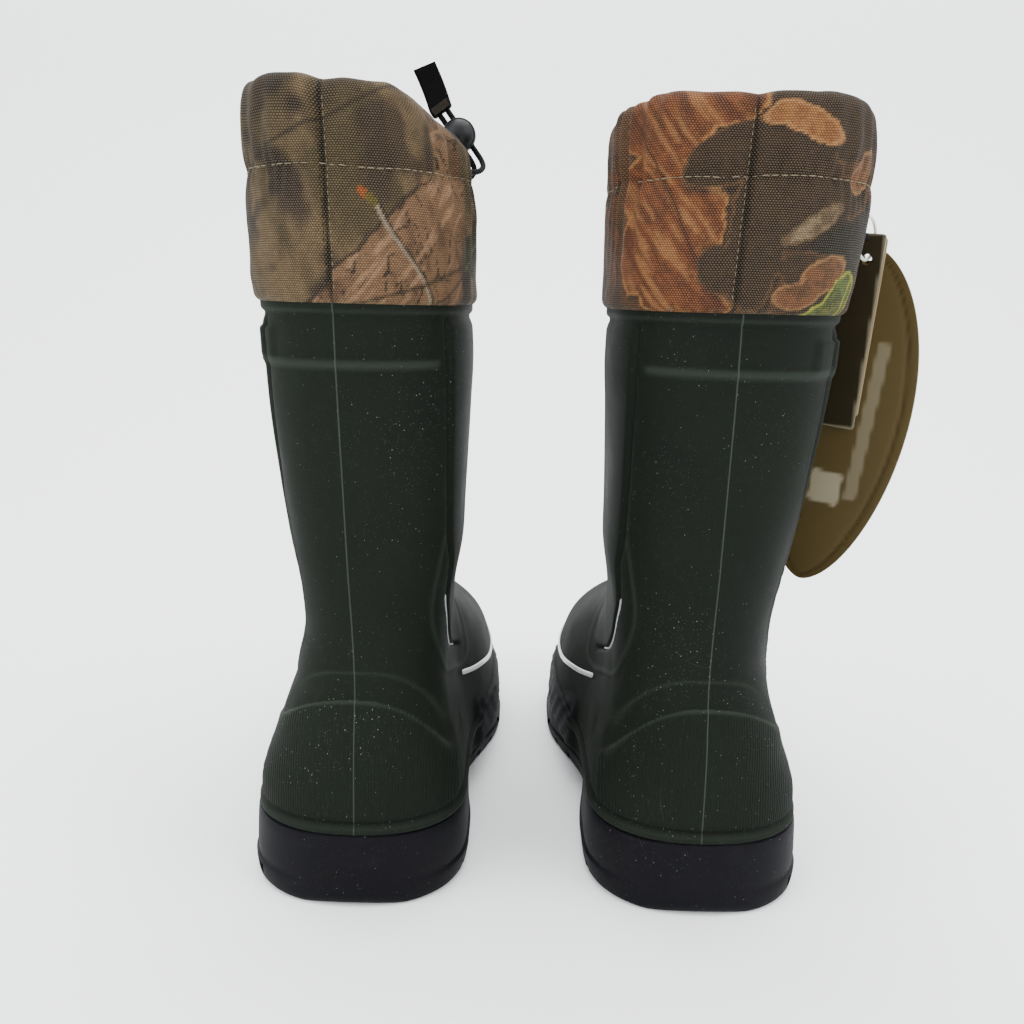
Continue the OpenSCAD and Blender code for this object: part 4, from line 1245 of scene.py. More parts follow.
def stitch_row(name, boot, u, z, length, thickness, material, lift=0.15):
    """Short thread stitches one after another, each dipping into the cloth at its ends."""
    vertices, faces = [], []
    points, normals = collar_surface(boot, u, z, lift)
    rng = np.random.default_rng(len(u))
    sides, rows = 6, 5
    sag = np.array([-0.55, 0.12, 0.25, 0.12, -0.55])
    size = np.array([0.45, 0.95, 1.0, 0.95, 0.45])
    for i in range(len(u) - 1):
        a, b = points[i], points[i + 1]
        d = b - a
        if not 0.4 * length < np.linalg.norm(d) < 3 * length:
            continue
        d = d / np.linalg.norm(d)
        n = normals[i]
        s = np.cross(d, n)
        middle = (a + b) / 2 + s * rng.uniform(-0.12, 0.12)
        base = len(vertices)
        reach = min(length, np.linalg.norm(b - a) * 0.94) / 2
        for r in range(rows):
            along = reach * (2 * r / (rows - 1) - 1)
            centre = middle + d * along + n * sag[r] * thickness
            for k in range(sides):
                angle = 2 * math.pi * k / sides
                vertices.append(centre + thickness / 2 * size[r]
                                * (math.cos(angle) * s + math.sin(angle) * n))
        for r in range(rows - 1):
            for k in range(sides):
                k1 = (k + 1) % sides
                faces.append([base + r * sides + k, base + (r + 1) * sides + k, base + (r + 1) * sides + k1,
                              base + r * sides + k1])
        faces.append([base + k for k in range(sides)])
        faces.append([base + (rows - 1) * sides + k for k in range(sides - 1, -1, -1)])
    return outward(build(name, world(vertices, boot), faces, material))


def collar_girth(boot):
    middle = outline_rings(boot, [290.0], [-3.0], 210)[0]
    run, total, half = around_length(middle)
    return run[half], total


def make_stitches(boot, shape):
    to_front, total = collar_girth(boot)
    u = np.arange(to_front - total + 1.6, to_front - 1.2, shape.stitch_pitch)
    wander = 0.5 * np.sin(u / 17.0) + 0.3 * np.sin(u / 6.1)
    row = stitch_row(f"{boot}_channel_stitches", boot, u, STITCH_Z + wander, 2.9, 0.46, MATERIAL["thread"],
                     0.16)
    z = np.arange(255.5, 322, 2.6)
    low, high = SEAM_SLANT[boot]
    seams = []
    for n, (offset, material) in enumerate(((-1.2, MATERIAL["thread"]), (1.3, MATERIAL["dark_thread"]))):
        seams.append(stitch_row(f"{boot}_seam_stitches_{n}", boot, low + (high - low) * ramp(z, 240, 340)
                                + offset, z,
                                1.7, 0.28, material, 0.05))
    all_stitches = joined(f"{boot}_collar_stitches", [row] + seams)
    return finish_piece(all_stitches, f"{boot}_boot", "light_thread", f"{boot}_rim_stitch")


def make_lining(boot):
    """Padded knit inside the collar, with soft quilting rows."""
    section = [(254.4, 1.2), (260, 1.0), (280, 1.0), (298, 1.2), (300.5, 4.4), (316, 4.4), (317.5, 6.0),
               (314, 7.9),
               (300, 8.2), (285, 8.2), (268, 8.2), (256, 8.0), (252.5, 7.2), (252.6, 4.0)]
    p = smooth_path(np.array([(z, t, 0) for z, t in section], float), 1.6)
    z, inset = p[:, 0], p[:, 1]
    count = 90
    rings = outline_rings(boot, z, inset, count)
    inside = ramp(inset, 7.2, 8.6)[:, None]
    puff = 0.9 * np.abs(np.sin(np.pi * (rings[..., 2] - 252) / 13.0)) ** 0.6
    normals = grid_normals(outline_rings(boot, z, np.zeros(len(z)), count))
    rings = slumped(rings - (puff * inside)[..., None] * normals * np.array([1, 1, 0.0]), boot)
    cols = 2 * count
    rows = len(z)
    flip = SIDES[boot] < 0
    faces = face_grid(rows, cols, flip)
    shut = [[j, (j + 1) % cols, (rows - 1) * cols + (j + 1) % cols, (rows - 1) * cols + j]
            for j in range(cols)]
    faces += shut if flip else [f[::-1] for f in shut]
    obj = build(f"{boot}_knit_lining", world(rings.reshape(-1, 3), boot), faces, MATERIAL["knit"])
    return finish_piece(obj, f"{boot}_boot", "black_knit", f"{boot}_collar_lining")


def make_liner(boot):
    """Felt bootie inside the shell, with a bound top edge."""
    outer_z = heights(40.5, 250.0, 4.0)
    inner_z = heights(45.0, 248.0, 3.0)[::-1]
    count = 80
    outer = outline_rings(boot, outer_z, np.full(len(outer_z), 5.9), count)
    lip = outline_rings(boot, [251.5, 252.0, 251.5], [6.4, 8.6, 10.8], count)
    inner = outline_rings(boot, inner_z, np.full(len(inner_z), 11.2), count)
    soft = 0.9 * (layered_noise(inner[..., 1] / 12, inner[..., 2] / 12, 61, 3) - 0.5)
    inner = inner - soft[..., None] * grid_normals(inner[::-1])[::-1]
    obj = rings_mesh(f"{boot}_felt_liner", boot, np.concatenate([outer, lip, inner]), MATERIAL["felt"])
    return finish_piece(obj, f"{boot}_boot", "grey_felt", f"{boot}_liner")


def make_pull_tape(boot):
    """A loop of webbing sewn inside the back of the collar."""
    path = [(0, -13.2, 262), (0, -13.0, 272), (0, -12.4, 284), (0, -12.6, 296), (0, -13.2, 305),
            (0, -13.8, 309),
            (0, -14.9, 305), (0, -15.0, 296), (0, -14.9, 284), (0, -14.8, 272), (0, -14.8, 263)]
    p = world(smooth_path(np.array(path, float), 1.0), boot)
    tape = swept(f"{boot}_pull_loop", p, 1.0 * MM, 11.5 * MM, np.array([1.0, 0, 0]), MATERIAL["webbing"],
                 sides=16,
                 power=0.35)
    return finish_piece(outward(tape), f"{boot}_boot", "black_webbing", f"{boot}_pull_tape")


# ---------------------------------------------------------------- drawcord hardware

ROUTES = {
    "left_cord_end_a": [(-24.9, 96, 309), (-26.6, 99, 308.6), (-29.8, 101.6, 307.8), (-33.6, 103, 307),
                        (-37.2, 102.8, 306.8), (-39.8, 101.6, 307.6), (-41.3, 100, 309.5), (-41.2, 98.6, 312),
                        (-39.5, 98, 315), (-36.5, 98, 319), (-33.5, 98, 323), (-30.5, 98, 327),
                        (-27.5, 98, 331),
                        (-25.7, 98, 333.4), (-24.8, 98, 334.6)],
    "left_cord_end_b": [(-35.7, 84.5, 309), (-38.6, 86.4, 308.4), (-41.8, 89, 308.4), (-44.5, 92.2, 309.6),
                        (-45.6, 95.2, 311.8), (-44.6, 97.2, 314.6), (-42.7, 98, 317.4), (-39.7, 98, 321.4),
                        (-36.7, 98, 325.4), (-33.7, 98, 329.4), (-30.7, 98, 333.4), (-28.9, 98, 335.8),
                        (-28, 98, 337)],
    "right_cord_end_a": [(-28, 96, 309), (-29, 98.6, 308.4), (-29.8, 100.6, 306.6), (-30.4, 101.7, 304),
                         (-30.6, 102, 301), (-30.6, 102, 295), (-30.6, 102, 288), (-30.6, 102, 281),
                         (-30.6, 102, 275), (-30.6, 102, 270)],
    "right_cord_end_b": [(-40, 84.5, 309), (-42, 86.6, 308.6), (-42.6, 89.4, 307.6), (-41.4, 92.6, 306.2),
                         (-39, 95.6, 304.8), (-36.8, 98.4, 303.2), (-35.2, 100.8, 301.4), (-34.6, 102, 298.6),
                         (-34.6, 102, 292), (-34.6, 102, 286), (-34.6, 102, 280), (-34.6, 102, 275),
                         (-34.6, 102, 270)],
}
CORD_D = 2.5
LOCK_CENTRE = {"left": (-34.5, 98, 325), "right": (-32.6, 102, 286)}
LOCK_LEAN = {"left": math.atan(3 / 4), "right": 0.0}
TAB_FOOT = {"left": (-27.3, 98, 334.6), "right": (-32.6, 102, 271.5)}


def lock_frame(boot, centre, extra=0.0, upside_down=False):
    """World matrix of the lock's own frame: cords along Z, plunger along Y."""
    lean = (LOCK_LEAN[boot] + extra) * SIDES[boot]
    turn = Matrix.Rotation(lean, 4, "Y")
    if upside_down:
        turn = Matrix.Rotation(math.pi, 4, "X")
    place = Matrix.Translation(Vector(world([centre], boot)[0]))
    return place @ turn


def primitive(kind, name, material, **values):
    bpy.ops.object.select_all(action="DESELECT")
    getattr(bpy.ops.mesh, f"primitive_{kind}_add")(**values)
    obj = bpy.context.object
    obj.name = name
    obj.data.name = name
    obj.data.materials.append(material)
    return settle(obj)


def hole(obj, radius, depth, location, rotation=(0, 0, 0)):
    cutter = primitive("cylinder", "hole_cutter", MATERIAL["plastic"], vertices=32, radius=radius,
                       depth=depth,
                       location=location, rotation=rotation)
    apply_modifier(obj, "BOOLEAN", object=cutter, operation="DIFFERENCE", solver="EXACT")
    bpy.data.objects.remove(cutter)


def make_lock(boot):
    """Ball-shaped lock body with a collar round its plunger and two cord holes."""
    m = MATERIAL["plastic"]
    ball = primitive("uv_sphere", f"{boot}_lock_ball", m, segments=48, ring_count=28, radius=7.5 * MM,
                     rotation=(math.pi / 2, 0, 0))
    neck = primitive("cylinder", "lock_neck", m, vertices=48, radius=6.0 * MM, depth=8.0 * MM,
                     location=(0, 4.0 * MM, 0), rotation=(math.pi / 2, 0, 0))
    apply_modifier(neck, "BEVEL", width=0.5 * MM, segments=3, limit_method="ANGLE")
    apply_modifier(ball, "BOOLEAN", object=neck, operation="UNION", solver="EXACT")
    bpy.data.objects.remove(neck)
    hole(ball, 4.45 * MM, 20 * MM, (0, 5.0 * MM, 0), (math.pi / 2, 0, 0))
    for x in (-2, 2):
        hole(ball, 1.55 * MM, 20 * MM, (x * MM, 0, 0))
    rib = primitive("torus", "lock_rib", m, major_radius=6.9 * MM, minor_radius=0.5 * MM, major_segments=48,
                    minor_segments=10, location=(0, -2.8 * MM, 0), rotation=(math.pi / 2, 0, 0))
    ball = joined(f"{boot}_lock_housing", [ball, rib])
    only(ball)
    bpy.ops.object.shade_smooth_by_angle(angle=math.radians(38))
    ball.matrix_world = lock_frame(boot, LOCK_CENTRE[boot])
    settle(ball)
    return finish_piece(ball, f"{boot}_lock", "black_plastic", f"{boot}_cord_lock")


def make_plunger(boot):
    m = MATERIAL["plastic"]
    pin = primitive("cylinder", f"{boot}_plunger_pin", m, vertices=48, radius=4.3 * MM, depth=13.0 * MM,
                    location=(0, 4.6 * MM, 0), rotation=(math.pi / 2, 0, 0))
    apply_modifier(pin, "BEVEL", width=0.7 * MM, segments=4, limit_method="ANGLE")
    slot = primitive("cube", "plunger_slot", m, size=1.0, location=(0, 1.05 * MM, 0),
                     scale=(7 * MM, 5 * MM, 12 * MM))
    apply_modifier(pin, "BOOLEAN", object=slot, operation="DIFFERENCE", solver="EXACT")
    bpy.data.objects.remove(slot)
    dish = primitive("uv_sphere", "plunger_dish", m, segments=32, ring_count=16, radius=6 * MM,
                     location=(0, 16.3 * MM, 0))
    apply_modifier(pin, "BOOLEAN", object=dish, operation="DIFFERENCE", solver="EXACT")
    bpy.data.objects.remove(dish)
    only(pin)
    bpy.ops.object.shade_smooth_by_angle(angle=math.radians(35))
    pin.matrix_world = lock_frame(boot, LOCK_CENTRE[boot])
    settle(pin)
    return finish_piece(pin, f"{boot}_plunger", "black_plastic", f"{boot}_lock_plunger")


def make_spring(boot):
    """Coil behind the plunger, squeezed when the plunger is pressed."""
    low, high = (np.array(corner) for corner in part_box(f"{boot}_lock_spring"))
    middle = (low + high) / 2
    wire, turns = 0.5 * MM, 2.2
    reach = (high[0] - low[0] - wire) / 2
    t = np.linspace(0, 1, 90)
    path = np.stack([middle[0] + reach * np.cos(2 * np.pi * turns * t),
                     low[1] + wire / 2 + (high[1] - low[1] - wire) * t,
                     middle[2] + reach * np.sin(2 * np.pi * turns * t)], axis=-1)
    coil = outward(swept(f"{boot}_lock_coil", path, wire, wire, np.array([0, 1.0, 0]), MATERIAL["steel"],
                         sides=8))
    finish_piece(coil, f"{boot}_lock", "spring_steel", f"{boot}_lock_spring")
    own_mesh(coil)


def make_tab(boot):
    """Webbing folded over the cord ends, with a bar tack and a softly bent flap."""
    lean = math.radians(-14) if boot == "left" else 0.0
    frame_matrix = lock_frame(boot, TAB_FOOT[boot], upside_down=boot == "right")
    foot = primitive("cube", f"{boot}_tab_foot", MATERIAL["webbing"], size=1.0, location=(0, 0, 2.2 * MM),
                     scale=(10.2 * MM, 5.4 * MM, 4.4 * MM))
    apply_modifier(foot, "BEVEL", width=1.3 * MM, segments=4, limit_method="ANGLE")
    flap = primitive("cube", f"{boot}_tab_flap", MATERIAL["webbing"], size=1.0, location=(0, 0, 9.6 * MM),
                     scale=(10.4 * MM, 2.7 * MM, 18.6 * MM))
    only(flap)
    bpy.ops.object.mode_set(mode="EDIT")
    bpy.ops.mesh.select_all(action="SELECT")
    bpy.ops.mesh.subdivide(number_cuts=9)
    bpy.ops.object.mode_set(mode="OBJECT")
    for vertex in flap.data.vertices:
        t = vertex.co.z / (19 * MM)
        vertex.co.y += 0.9 * MM * math.sin(2.6 * t)
        vertex.co.x += 0.35 * MM * math.sin(3.3 * t)
    apply_modifier(flap, "BEVEL", width=0.6 * MM, segments=3, limit_method="ANGLE")
    bend = Matrix.Translation((0, 0, 2.5 * MM)) @ Matrix.Rotation(lean * SIDES[boot], 4, "Y")
    flap.matrix_world = bend
    settle(flap)
    tacks = []
    for n in range(7):
        tacks.append(primitive("cylinder", f"{boot}_tack_{n}", MATERIAL["dark_thread"], vertices=8,
                               radius=0.28 * MM,
                               depth=8.2 * MM, location=(0, -2.75 * MM, (0.9 + 0.45 * n) * MM),
                               rotation=(0, math.pi / 2, 0)))
    tab = joined(f"{boot}_webbing_tab", [foot, flap] + tacks)
    only(tab)
    bpy.ops.object.shade_smooth_by_angle(angle=math.radians(40))
    tab.matrix_world = frame_matrix
    settle(tab)
    return finish_piece(tab, f"{boot}_boot", "black_webbing", f"{boot}_cord_tab")


def cord_tube(name, path, diameter, material):
    sides = 14
    obj = swept(name, path, diameter, diameter, np.array([0.13, 0.21, 0.97]), material, sides=sides,
                taper=False)
    outward(obj)
    run = np.concatenate([[0], np.cumsum(np.linalg.norm(np.diff(path, axis=0), axis=1))])
    co = np.array([v.co for v in obj.data.vertices])
    nearest = np.argmin(((co[:, None, :] - path[None, :, :]) ** 2).sum(axis=2), axis=1)
    order = np.arange(len(co)) % sides
    uv = np.stack([order / sides, run[nearest] * 100], axis=1)
    uv_from_points(obj, uv)
    return obj


def make_cord_ends(boot, pieces):
    tab, lock, plunger = pieces
    spring = bpy.data.objects[f"{boot}_lock_spring"]
    for which, extra in (("a", [tab, lock, plunger, spring]), ("b", [tab])):
        node = f"{boot}_cord_end_{which}"
        path = world(smooth_path(np.array(ROUTES[node], float), 0.6), boot)
        cord = cord_tube(f"{boot}_free_cord_{which}", path, CORD_D * MM, MATERIAL["braid"])
        finish_piece(cord, f"{boot}_boot", "black_cord", node)


# ---------------------------------------------------------------- hang tags

TAG_CENTRE = (61.5, 74.0, 204.0)
TAG_TURN = math.radians(-41.3)
TAG_GAP = 2.2
HOLE_S = 10.0
RING_R, RING_Z, RING_IN = 9.0, 283.0, 6.0


def hole_height(level):
    return RING_Z - math.sqrt(RING_R ** 2 - (RING_IN - level * TAG_GAP) ** 2)


def tag_matrix(level):
    """World matrix of a tag's plane: X along it, Z up, Y away from the boot."""
    foot = world([(TAG_CENTRE[0], TAG_CENTRE[1], 0)], "right")[0]
    return (Matrix.Translation(Vector(foot)) @ Matrix.Rotation(TAG_TURN, 4, "Z")
            @ Matrix.Translation((0, -level * TAG_GAP * MM, 0)))


def tag_plate(name, outline, level, thickness, material, bow, marks):
    """A thin card of the given outline in its own plane, gridded so that it can bow."""
    low, high = outline.min(axis=0), outline.max(axis=0)
    step = 1.4
    nx, nz = int((high[0] - low[0]) / step) + 2, int((high[1] - low[1]) / step) + 2
    xs, zs = np.linspace(low[0] - 1, high[0] + 1, nx), np.linspace(low[1] - 1, high[1] + 1, nz)
    bpy.ops.object.select_all(action="DESELECT")
    rim = [(x * MM, 0, z * MM) for x, z in outline]
    obj = build(name, rim, [list(range(len(rim)))], material, smooth=False)
    work = bmesh.new()
    work.from_mesh(obj.data)
    for x in xs:
        cut = work.verts[:] + work.edges[:] + work.faces[:]
        bmesh.ops.bisect_plane(work, geom=cut, plane_co=(x * MM, 0, 0), plane_no=(1, 0, 0))
    for z in zs:
        cut = work.verts[:] + work.edges[:] + work.faces[:]
        bmesh.ops.bisect_plane(work, geom=cut, plane_co=(0, 0, z * MM), plane_no=(0, 0, 1))
    work.to_mesh(obj.data)
    work.free()
    apply_modifier(obj, "SOLIDIFY", thickness=thickness * MM, offset=0.0)
    outward(obj)
    hole(obj, 2.4 * MM, 20 * MM, (HOLE_S * MM, 0, hole_height(level) * MM), (math.pi / 2, 0, 0))
    co = np.array([v.co for v in obj.data.vertices]) / MM
    tint = marks(co)
    co[:, 1] += bow(co)
    obj.data.vertices.foreach_set("co", (co * MM).ravel())
    obj.data.update()
    point_colour(obj, "marks", tint[None])
    only(obj)
    bpy.ops.object.shade_smooth_by_angle(angle=math.radians(30))
    obj.matrix_world = tag_matrix(level)
    return settle(obj)


def turned(points, angle, centre):
    c, s = math.cos(angle), math.sin(angle)
    p = np.asarray(points, float)
    return np.stack([c * p[:, 0] - s * p[:, 1] + centre[0], s * p[:, 0] + c * p[:, 1] + centre[1]], axis=1)


def leaf_rim(shrink=0.0):
    a = np.linspace(0, math.pi, 49)
    half = (33.5 - shrink) * np.sin(a) ** 1.15 * (1 + 0.1 * np.cos(a))
    up = (77 - shrink) * np.cos(a)
    right = np.stack([half, up], axis=1)
    left = np.stack([-half[-2:0:-1], up[-2:0:-1]], axis=1)
    return turned(np.concatenate([right, left]), math.radians(-8), (0, TAG_CENTRE[2]))


def make_leaf_tag():
    def inside(co):
        q = turned(np.stack([co[:, 0], co[:, 2] - TAG_CENTRE[2]], axis=1), math.radians(8), (0, 0))
        a = np.arccos(np.clip(q[:, 1] / 77, -1, 1))
        half = 33.5 * np.sin(a) ** 1.15 * (1 + 0.1 * np.cos(a))
        return half - np.abs(q[:, 0]), q

    def marks(co):
        gap, q = inside(co)
        line = np.exp(-((gap - 4.2) / 0.8) ** 2)
        label = ramp(q[:, 0], 12.0, 12.8) * ramp(q[:, 0], 18.6, 17.8) * ramp(np.abs(q[:, 1] - 2), 36, 35)
        patch = ramp(np.abs(q[:, 0] - 3), 7.6, 7.0) * ramp(np.abs(q[:, 1] + 31), 7.6, 7.0)
        rows = ramp(np.abs(q[:, 0] + 8), 4, 3.4) * ramp(np.abs(q[:, 1] + 22), 34,
                                                        33) * (np.mod(q[:, 0] + 40, 2.4) < 1)
        return np.stack([np.clip(line, 0, 1), np.maximum(label * 0.45, patch), rows * 0.6], axis=1)

    def bow(co):
        gap, q = inside(co)
        return 0.35 * np.exp(-((gap - 4.2) / 1.2) ** 2) + 1.6 * (q[:, 1] / 77) ** 2 * np.sign(-q[:, 1]) * 0.5

    tag = tag_plate("leaf_hang_tag", leaf_rim(), 0, 0.8, MATERIAL["khaki"], bow, marks)
    return finish_piece(tag, "tags", "khaki_card", "leaf_tag")


def make_card(name, node, body, slot, level, width, top, drop, material):
    pivot = (HOLE_S, hole_height(level))
    corner = 1.5
    rim = []
    for cx, cz, start in ((7 - corner, top - corner, 0), (7 - width + corner, top - corner, 90),
                          (7 - width + corner, -drop + corner, 180), (7 - corner, -drop + corner, 270)):
        for a in np.radians(np.linspace(start, start + 90, 5)):
            rim.append((cx + corner * math.cos(a), cz + corner * math.sin(a)))
    outline = turned(rim, math.radians(-4.5), pivot)

    def marks(co):
        q = turned(np.stack([co[:, 0] - pivot[0], co[:, 2] - pivot[1]], axis=1), math.radians(4.5), (0, 0))
        gap = np.minimum(np.minimum(7 - q[:, 0], q[:, 0] - 7 + width),
                         np.minimum(top - q[:, 1], q[:, 1] + drop))
        return np.stack([0 * gap, ramp(gap, 0.75, 0.35) * 0.6, ramp(gap, 3.0, 3.3) * ramp(gap, 3.9, 3.6)],
                        axis=1)

    card = tag_plate(name, outline, level, 0.8, material, lambda co: 0.5 * np.sin((co[:, 2] - 210) / 42),
                     marks)
    return finish_piece(card, body, slot, node)


def make_tag_ring():
    ring = primitive("torus", "nylon_tag_ring", MATERIAL["nylon"], major_radius=RING_R * MM,
                     minor_radius=0.7 * MM,
                     major_segments=64, minor_segments=14, rotation=(math.pi / 2, 0, math.pi / 2))
    ring.matrix_world = tag_matrix(0) @ Matrix.Translation((HOLE_S * MM, -RING_IN * MM, RING_Z * MM))
    only(ring)
    bpy.ops.object.shade_smooth()
    settle(ring)
    return finish_piece(ring, "tags", "clear_nylon", "tag_ring")


def make_anchor():
    """A short loop of tape on the collar, open upwards, that the ring hangs in."""
    path = [(-2.6, -22.0, 0), (-3.7, -19.0, 0), (-3.8, -16.0, 0), (-3.4, -13.4, 0), (-1.6, -11.9, 0),
            (1.6, -11.9, 0),
            (3.4, -13.4, 0), (3.8, -16.0, 0), (3.7, -19.0, 0), (2.6, -22.0, 0)]
    p = smooth_path(np.array(path, float), 0.6) * MM
    tape = swept("tag_anchor_tape", p, 0.9 * MM, 3.0 * MM, np.array([0, 0, 1.0]), MATERIAL["webbing"],
                 sides=12,
                 power=0.4, taper=False)
    outward(tape)
    tape.matrix_world = tag_matrix(0) @ Matrix.Translation((HOLE_S * MM, 0, RING_Z * MM))
    settle(tape)
    return finish_piece(tape, "right_boot", "black_webbing", "tag_anchor")


# ---------------------------------------------------------------- stage

CAMERA_BACK, CAMERA_HEIGHT, CAMERA_ASIDE = 0.3897, 0.256, -0.0101
CAMERA_DOWN, CAMERA_ROLL, CAMERA_LENS = math.radians(12), math.radians(1.5), 36.1


def make_stage(looks):
    middle = (ORIGIN["left"] + ORIGIN["right"]) / 2
    camera_data = bpy.data.cameras.new("Camera")
    camera_data.lens = CAMERA_LENS
    camera_data.sensor_width = 36.0
    camera_data.clip_start = 0.01
    camera = bpy.data.objects.new("Camera", camera_data)
    bpy.context.collection.objects.link(camera)
    place = Matrix.Translation((middle[0] + CAMERA_ASIDE, middle[1] - CAMERA_BACK, CAMERA_HEIGHT))
    look = Matrix.Rotation(math.pi / 2 - CAMERA_DOWN, 4, "X") @ Matrix.Rotation(CAMERA_ROLL, 4, "Z")
    camera.matrix_world = place @ look
    bpy.context.scene.camera = camera

    floor_paint, web, shader, place_socket = base_material("studio_floor", 0.75, specular=0.25)
    tone = web.noise(place_socket, 2.0, 3.0)
    web.put(shader.inputs["Base Color"],
            web.mix(web.math("MULTIPLY", tone, 0.3), tuple(looks.floor), colour(232, 234, 234)))
    profile = [(-6.0, 0.0)]
    profile += [(0.7 + 0.6 * math.sin(a), 0.6 - 0.6 * math.cos(a)) for a in np.linspace(0, math.pi / 2, 25)]
    profile.append((1.3, 4.0))
    shape = [(x, y + middle[1], z) for y, z in profile for x in (-6.0, 6.0)]
    sweep = build("studio_sweep", shape,
                  [[2 * i, 2 * i + 1, 2 * i + 3, 2 * i + 2] for i in range(len(profile) - 1)],
                  floor_paint)

    world_data = bpy.data.worlds.new("Studio")
    world_data.use_nodes = True
    background = world_data.node_tree.nodes["Background"]
    background.inputs["Color"].default_value = (0.93, 0.95, 0.97, 1)
    background.inputs["Strength"].default_value = looks.sky
    bpy.context.scene.world = world_data

    lamps = [
        ("Key_left", (-1.5, -0.9, 1.1), 1.6, 1.3, 34.0), ("Key_right", (1.6, -0.7, 1.2), 1.6, 1.3, 34.0),
        ("Top", (0.0, 0.3, 2.0), 2.4, 2.2, 90.0), ("Rear", (0.0, -1.7, 0.9), 1.4, 0.9, 6.0),
    ]
    for name, at, width, height, power in lamps:
        data = bpy.data.lights.new(name, "AREA")
        data.shape = "RECTANGLE"
        data.size, data.size_y = width, height
        data.energy = power
        lamp = bpy.data.objects.new(name, data)
        bpy.context.collection.objects.link(lamp)
        position = Vector(at) + Vector(middle)
        aim = Vector((middle[0], middle[1] + 0.1, 0.16)) - position
        lamp.matrix_world = Matrix.Translation(position) @ aim.to_track_quat("-Z", "Y").to_matrix().to_4x4()


# ---------------------------------------------------------------- add-on

class BootShapeSettings(bpy.types.PropertyGroup):
    """Moulded detail and stitching of the boots, in millimetres."""

    bead_height: bpy.props.FloatProperty(name="Bead height",
                                         description="How far the bead stands off the shaft, in mm",
                                         default=0.9, min=0.0, max=2.5)
    rim_height: bpy.props.FloatProperty(name="Rim height",
                                        description="How far the top rim stands off the shaft, in mm",
                                        default=1.2, min=0.0, max=2.5)
    ledge_height: bpy.props.FloatProperty(name="Ledge height",
                                          description="How far the ledge under the heel pad stands out (mm)",
                                          default=1.3, min=0.0, max=2.5)
    stitch_pitch: bpy.props.FloatProperty(name="Stitch pitch",
                                          description="Distance from stitch to stitch, in mm",
                                          default=3.3, min=2.0, max=5.0)


class BootLookSettings(bpy.types.PropertyGroup):
    """Colours and surface wear of the boots."""

    foam_dark: bpy.props.FloatVectorProperty(name="Foam, dark",
                                             description="Darker tone of the moulded shell",
                                             subtype="COLOR", size=4, default=colour(9, 12, 9), min=0, max=1)
    foam_light: bpy.props.FloatVectorProperty(name="Foam, light",
                                              description="Lighter tone of the moulded shell",
                                              subtype="COLOR", size=4, default=colour(21, 26, 20), min=0,
                                              max=1)
    rubber: bpy.props.FloatVectorProperty(name="Rubber", description="Colour of the outsole and toe guard",
                                          subtype="COLOR", size=4, default=colour(5, 5, 7), min=0, max=1)
    floor: bpy.props.FloatVectorProperty(name="Floor", description="Colour of the studio floor",
                                         subtype="COLOR", size=4, default=colour(238, 239, 240), min=0, max=1)
    dust: bpy.props.FloatProperty(name="Dust", description="Strength of the pale specks", default=0.5,
                                  min=0, max=1,
                                  subtype="FACTOR")
    weave_across: bpy.props.FloatProperty(name="Threads across",
                                          description="Weave cells in 100 mm across the cloth",
                                          default=98.0, min=30, max=160)
    weave_up: bpy.props.FloatProperty(name="Threads up", description="Weave cells in 100 mm up the cloth",
                                      default=126.0, min=30, max=200)
    sky: bpy.props.FloatProperty(name="Ambient light", description="Strength of the light from all round",
                                 default=1.6, min=0, max=3)


class BOOTS_OT_materials(bpy.types.Operator):
    """Builds every finish and gives the carried-over parts theirs"""

    bl_idname = "boots.materials"
    bl_label = "Finishes"

    def execute(self, context):
        MATERIAL.update(build_materials(context.scene.boot_looks))
        carried = {"eyelets": "metal", "drawcord": "knit", "insole": "felt"}
        for boot in SIDES:
            for node, finish in carried.items():
                obj = frame["nodes"][f"{boot}_{node}"]
                obj = bpy.data.objects[obj] if isinstance(obj, str) else obj
                obj.data.materials.clear()
                obj.data.materials.append(MATERIAL[finish])
        return {"FINISHED"}


def boot_operator(label, idname, words, makers):
    """An operator that runs its makers for both boots."""

    def execute(self, context):
        for boot in SIDES:
            makers(boot, context.scene.boot_shape)
        return {"FINISHED"}

    name = "BOOTS_OT_" + idname.split(".")[1]
    return type(name, (bpy.types.Operator,), {"bl_idname": idname, "bl_label": label, "__doc__": words,
                                              "execute": execute})


def hardware(boot, shape):
    make_cord_ends(boot, (make_tab(boot), make_lock(boot), make_plunger(boot)))
    make_spring(boot)


def collar_set(boot, shape):
    make_collar(boot)
    make_stitches(boot, shape)
    make_lining(boot)
    make_pull_tape(boot)


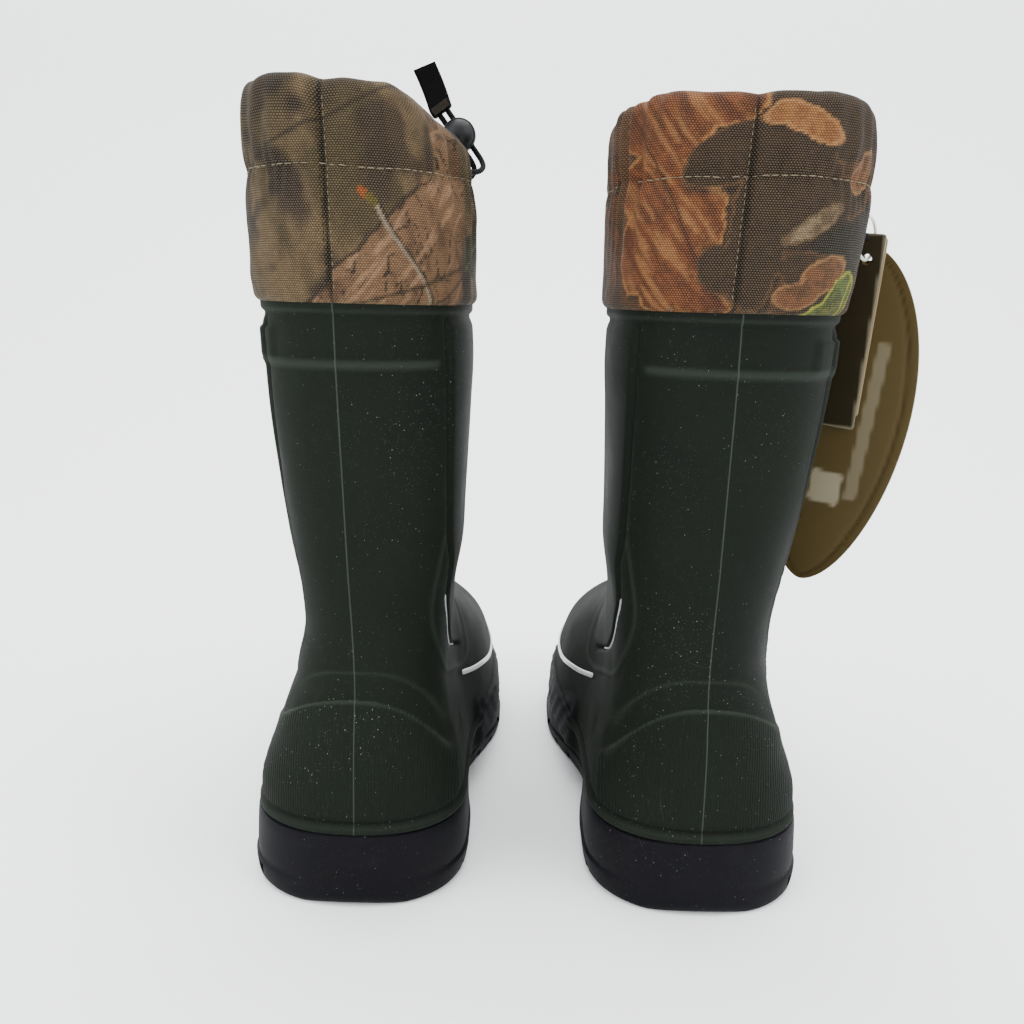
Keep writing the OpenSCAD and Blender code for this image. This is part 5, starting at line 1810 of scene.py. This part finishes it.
PAIR_OPERATORS = [
    boot_operator("Drawcord ends and locks", "boots.hardware", "Cord ends, tab, lock body and plunger",
                  hardware),
    boot_operator("Shells", "boots.shells", "Moulded foam shells with their relief", make_shell),
    boot_operator("Outsoles", "boots.outsoles", "Rubber outsoles with their tread", lambda b,
                  s: make_outsole(b)),
    boot_operator("Reflective strips", "boots.reflectors", "Film strips on both flanks", lambda b,
                  s: make_reflectors(b)),
    boot_operator("Collars", "boots.collars", "Printed collar, stitches, lining and pull tape", collar_set),
    boot_operator("Liners", "boots.liners", "Felt liners inside the shells", lambda b, s: make_liner(b)),
]


class BOOTS_OT_tags(bpy.types.Operator):
    """Hang tags with their ring and anchor tape"""

    bl_idname = "boots.tags"
    bl_label = "Hang tags"

    def execute(self, context):
        make_leaf_tag()
        make_card("brown_front_card", "card_front", "front_card", "brown_card", 2, 50, 11, 73,
                  MATERIAL["brown"])
        make_card("kraft_back_card", "card_back", "back_card", "kraft_card", 1, 48, 9, 68, MATERIAL["kraft"])
        make_tag_ring()
        make_anchor()
        return {"FINISHED"}


class BOOTS_OT_stage(bpy.types.Operator):
    """Camera, floor and studio light"""

    bl_idname = "boots.stage"
    bl_label = "Stage"

    def execute(self, context):
        make_stage(context.scene.boot_looks)
        return {"FINISHED"}


OPERATORS = [BOOTS_OT_materials, BOOTS_OT_stage] + PAIR_OPERATORS + [BOOTS_OT_tags]


class BOOTS_PT_panel(bpy.types.Panel):
    """Lists the sizes, the colours and the steps"""

    bl_idname = "BOOTS_PT_panel"
    bl_label = "Insulated boots"
    bl_space_type = "VIEW_3D"
    bl_region_type = "UI"
    bl_category = "Boots"

    def draw(self, context):
        for group in (context.scene.boot_shape, context.scene.boot_looks):
            for name in group.bl_rna.properties.keys():
                if name not in ("rna_type", "name"):
                    self.layout.prop(group, name)
        for operator in OPERATORS:
            self.layout.operator(operator.bl_idname)


CLASSES = [BootShapeSettings, BootLookSettings] + OPERATORS + [BOOTS_PT_panel]


def register():
    for cls in CLASSES:
        bpy.utils.register_class(cls)
    bpy.types.Scene.boot_shape = bpy.props.PointerProperty(type=BootShapeSettings)
    bpy.types.Scene.boot_looks = bpy.props.PointerProperty(type=BootLookSettings)


def unregister():
    del bpy.types.Scene.boot_looks
    del bpy.types.Scene.boot_shape
    for cls in reversed(CLASSES):
        bpy.utils.unregister_class(cls)


def main():
    register()
    for operator in OPERATORS:
        group, name = operator.bl_idname.split(".")
        getattr(getattr(bpy.ops, group), name)()


if __name__ == "__main__":
    main()
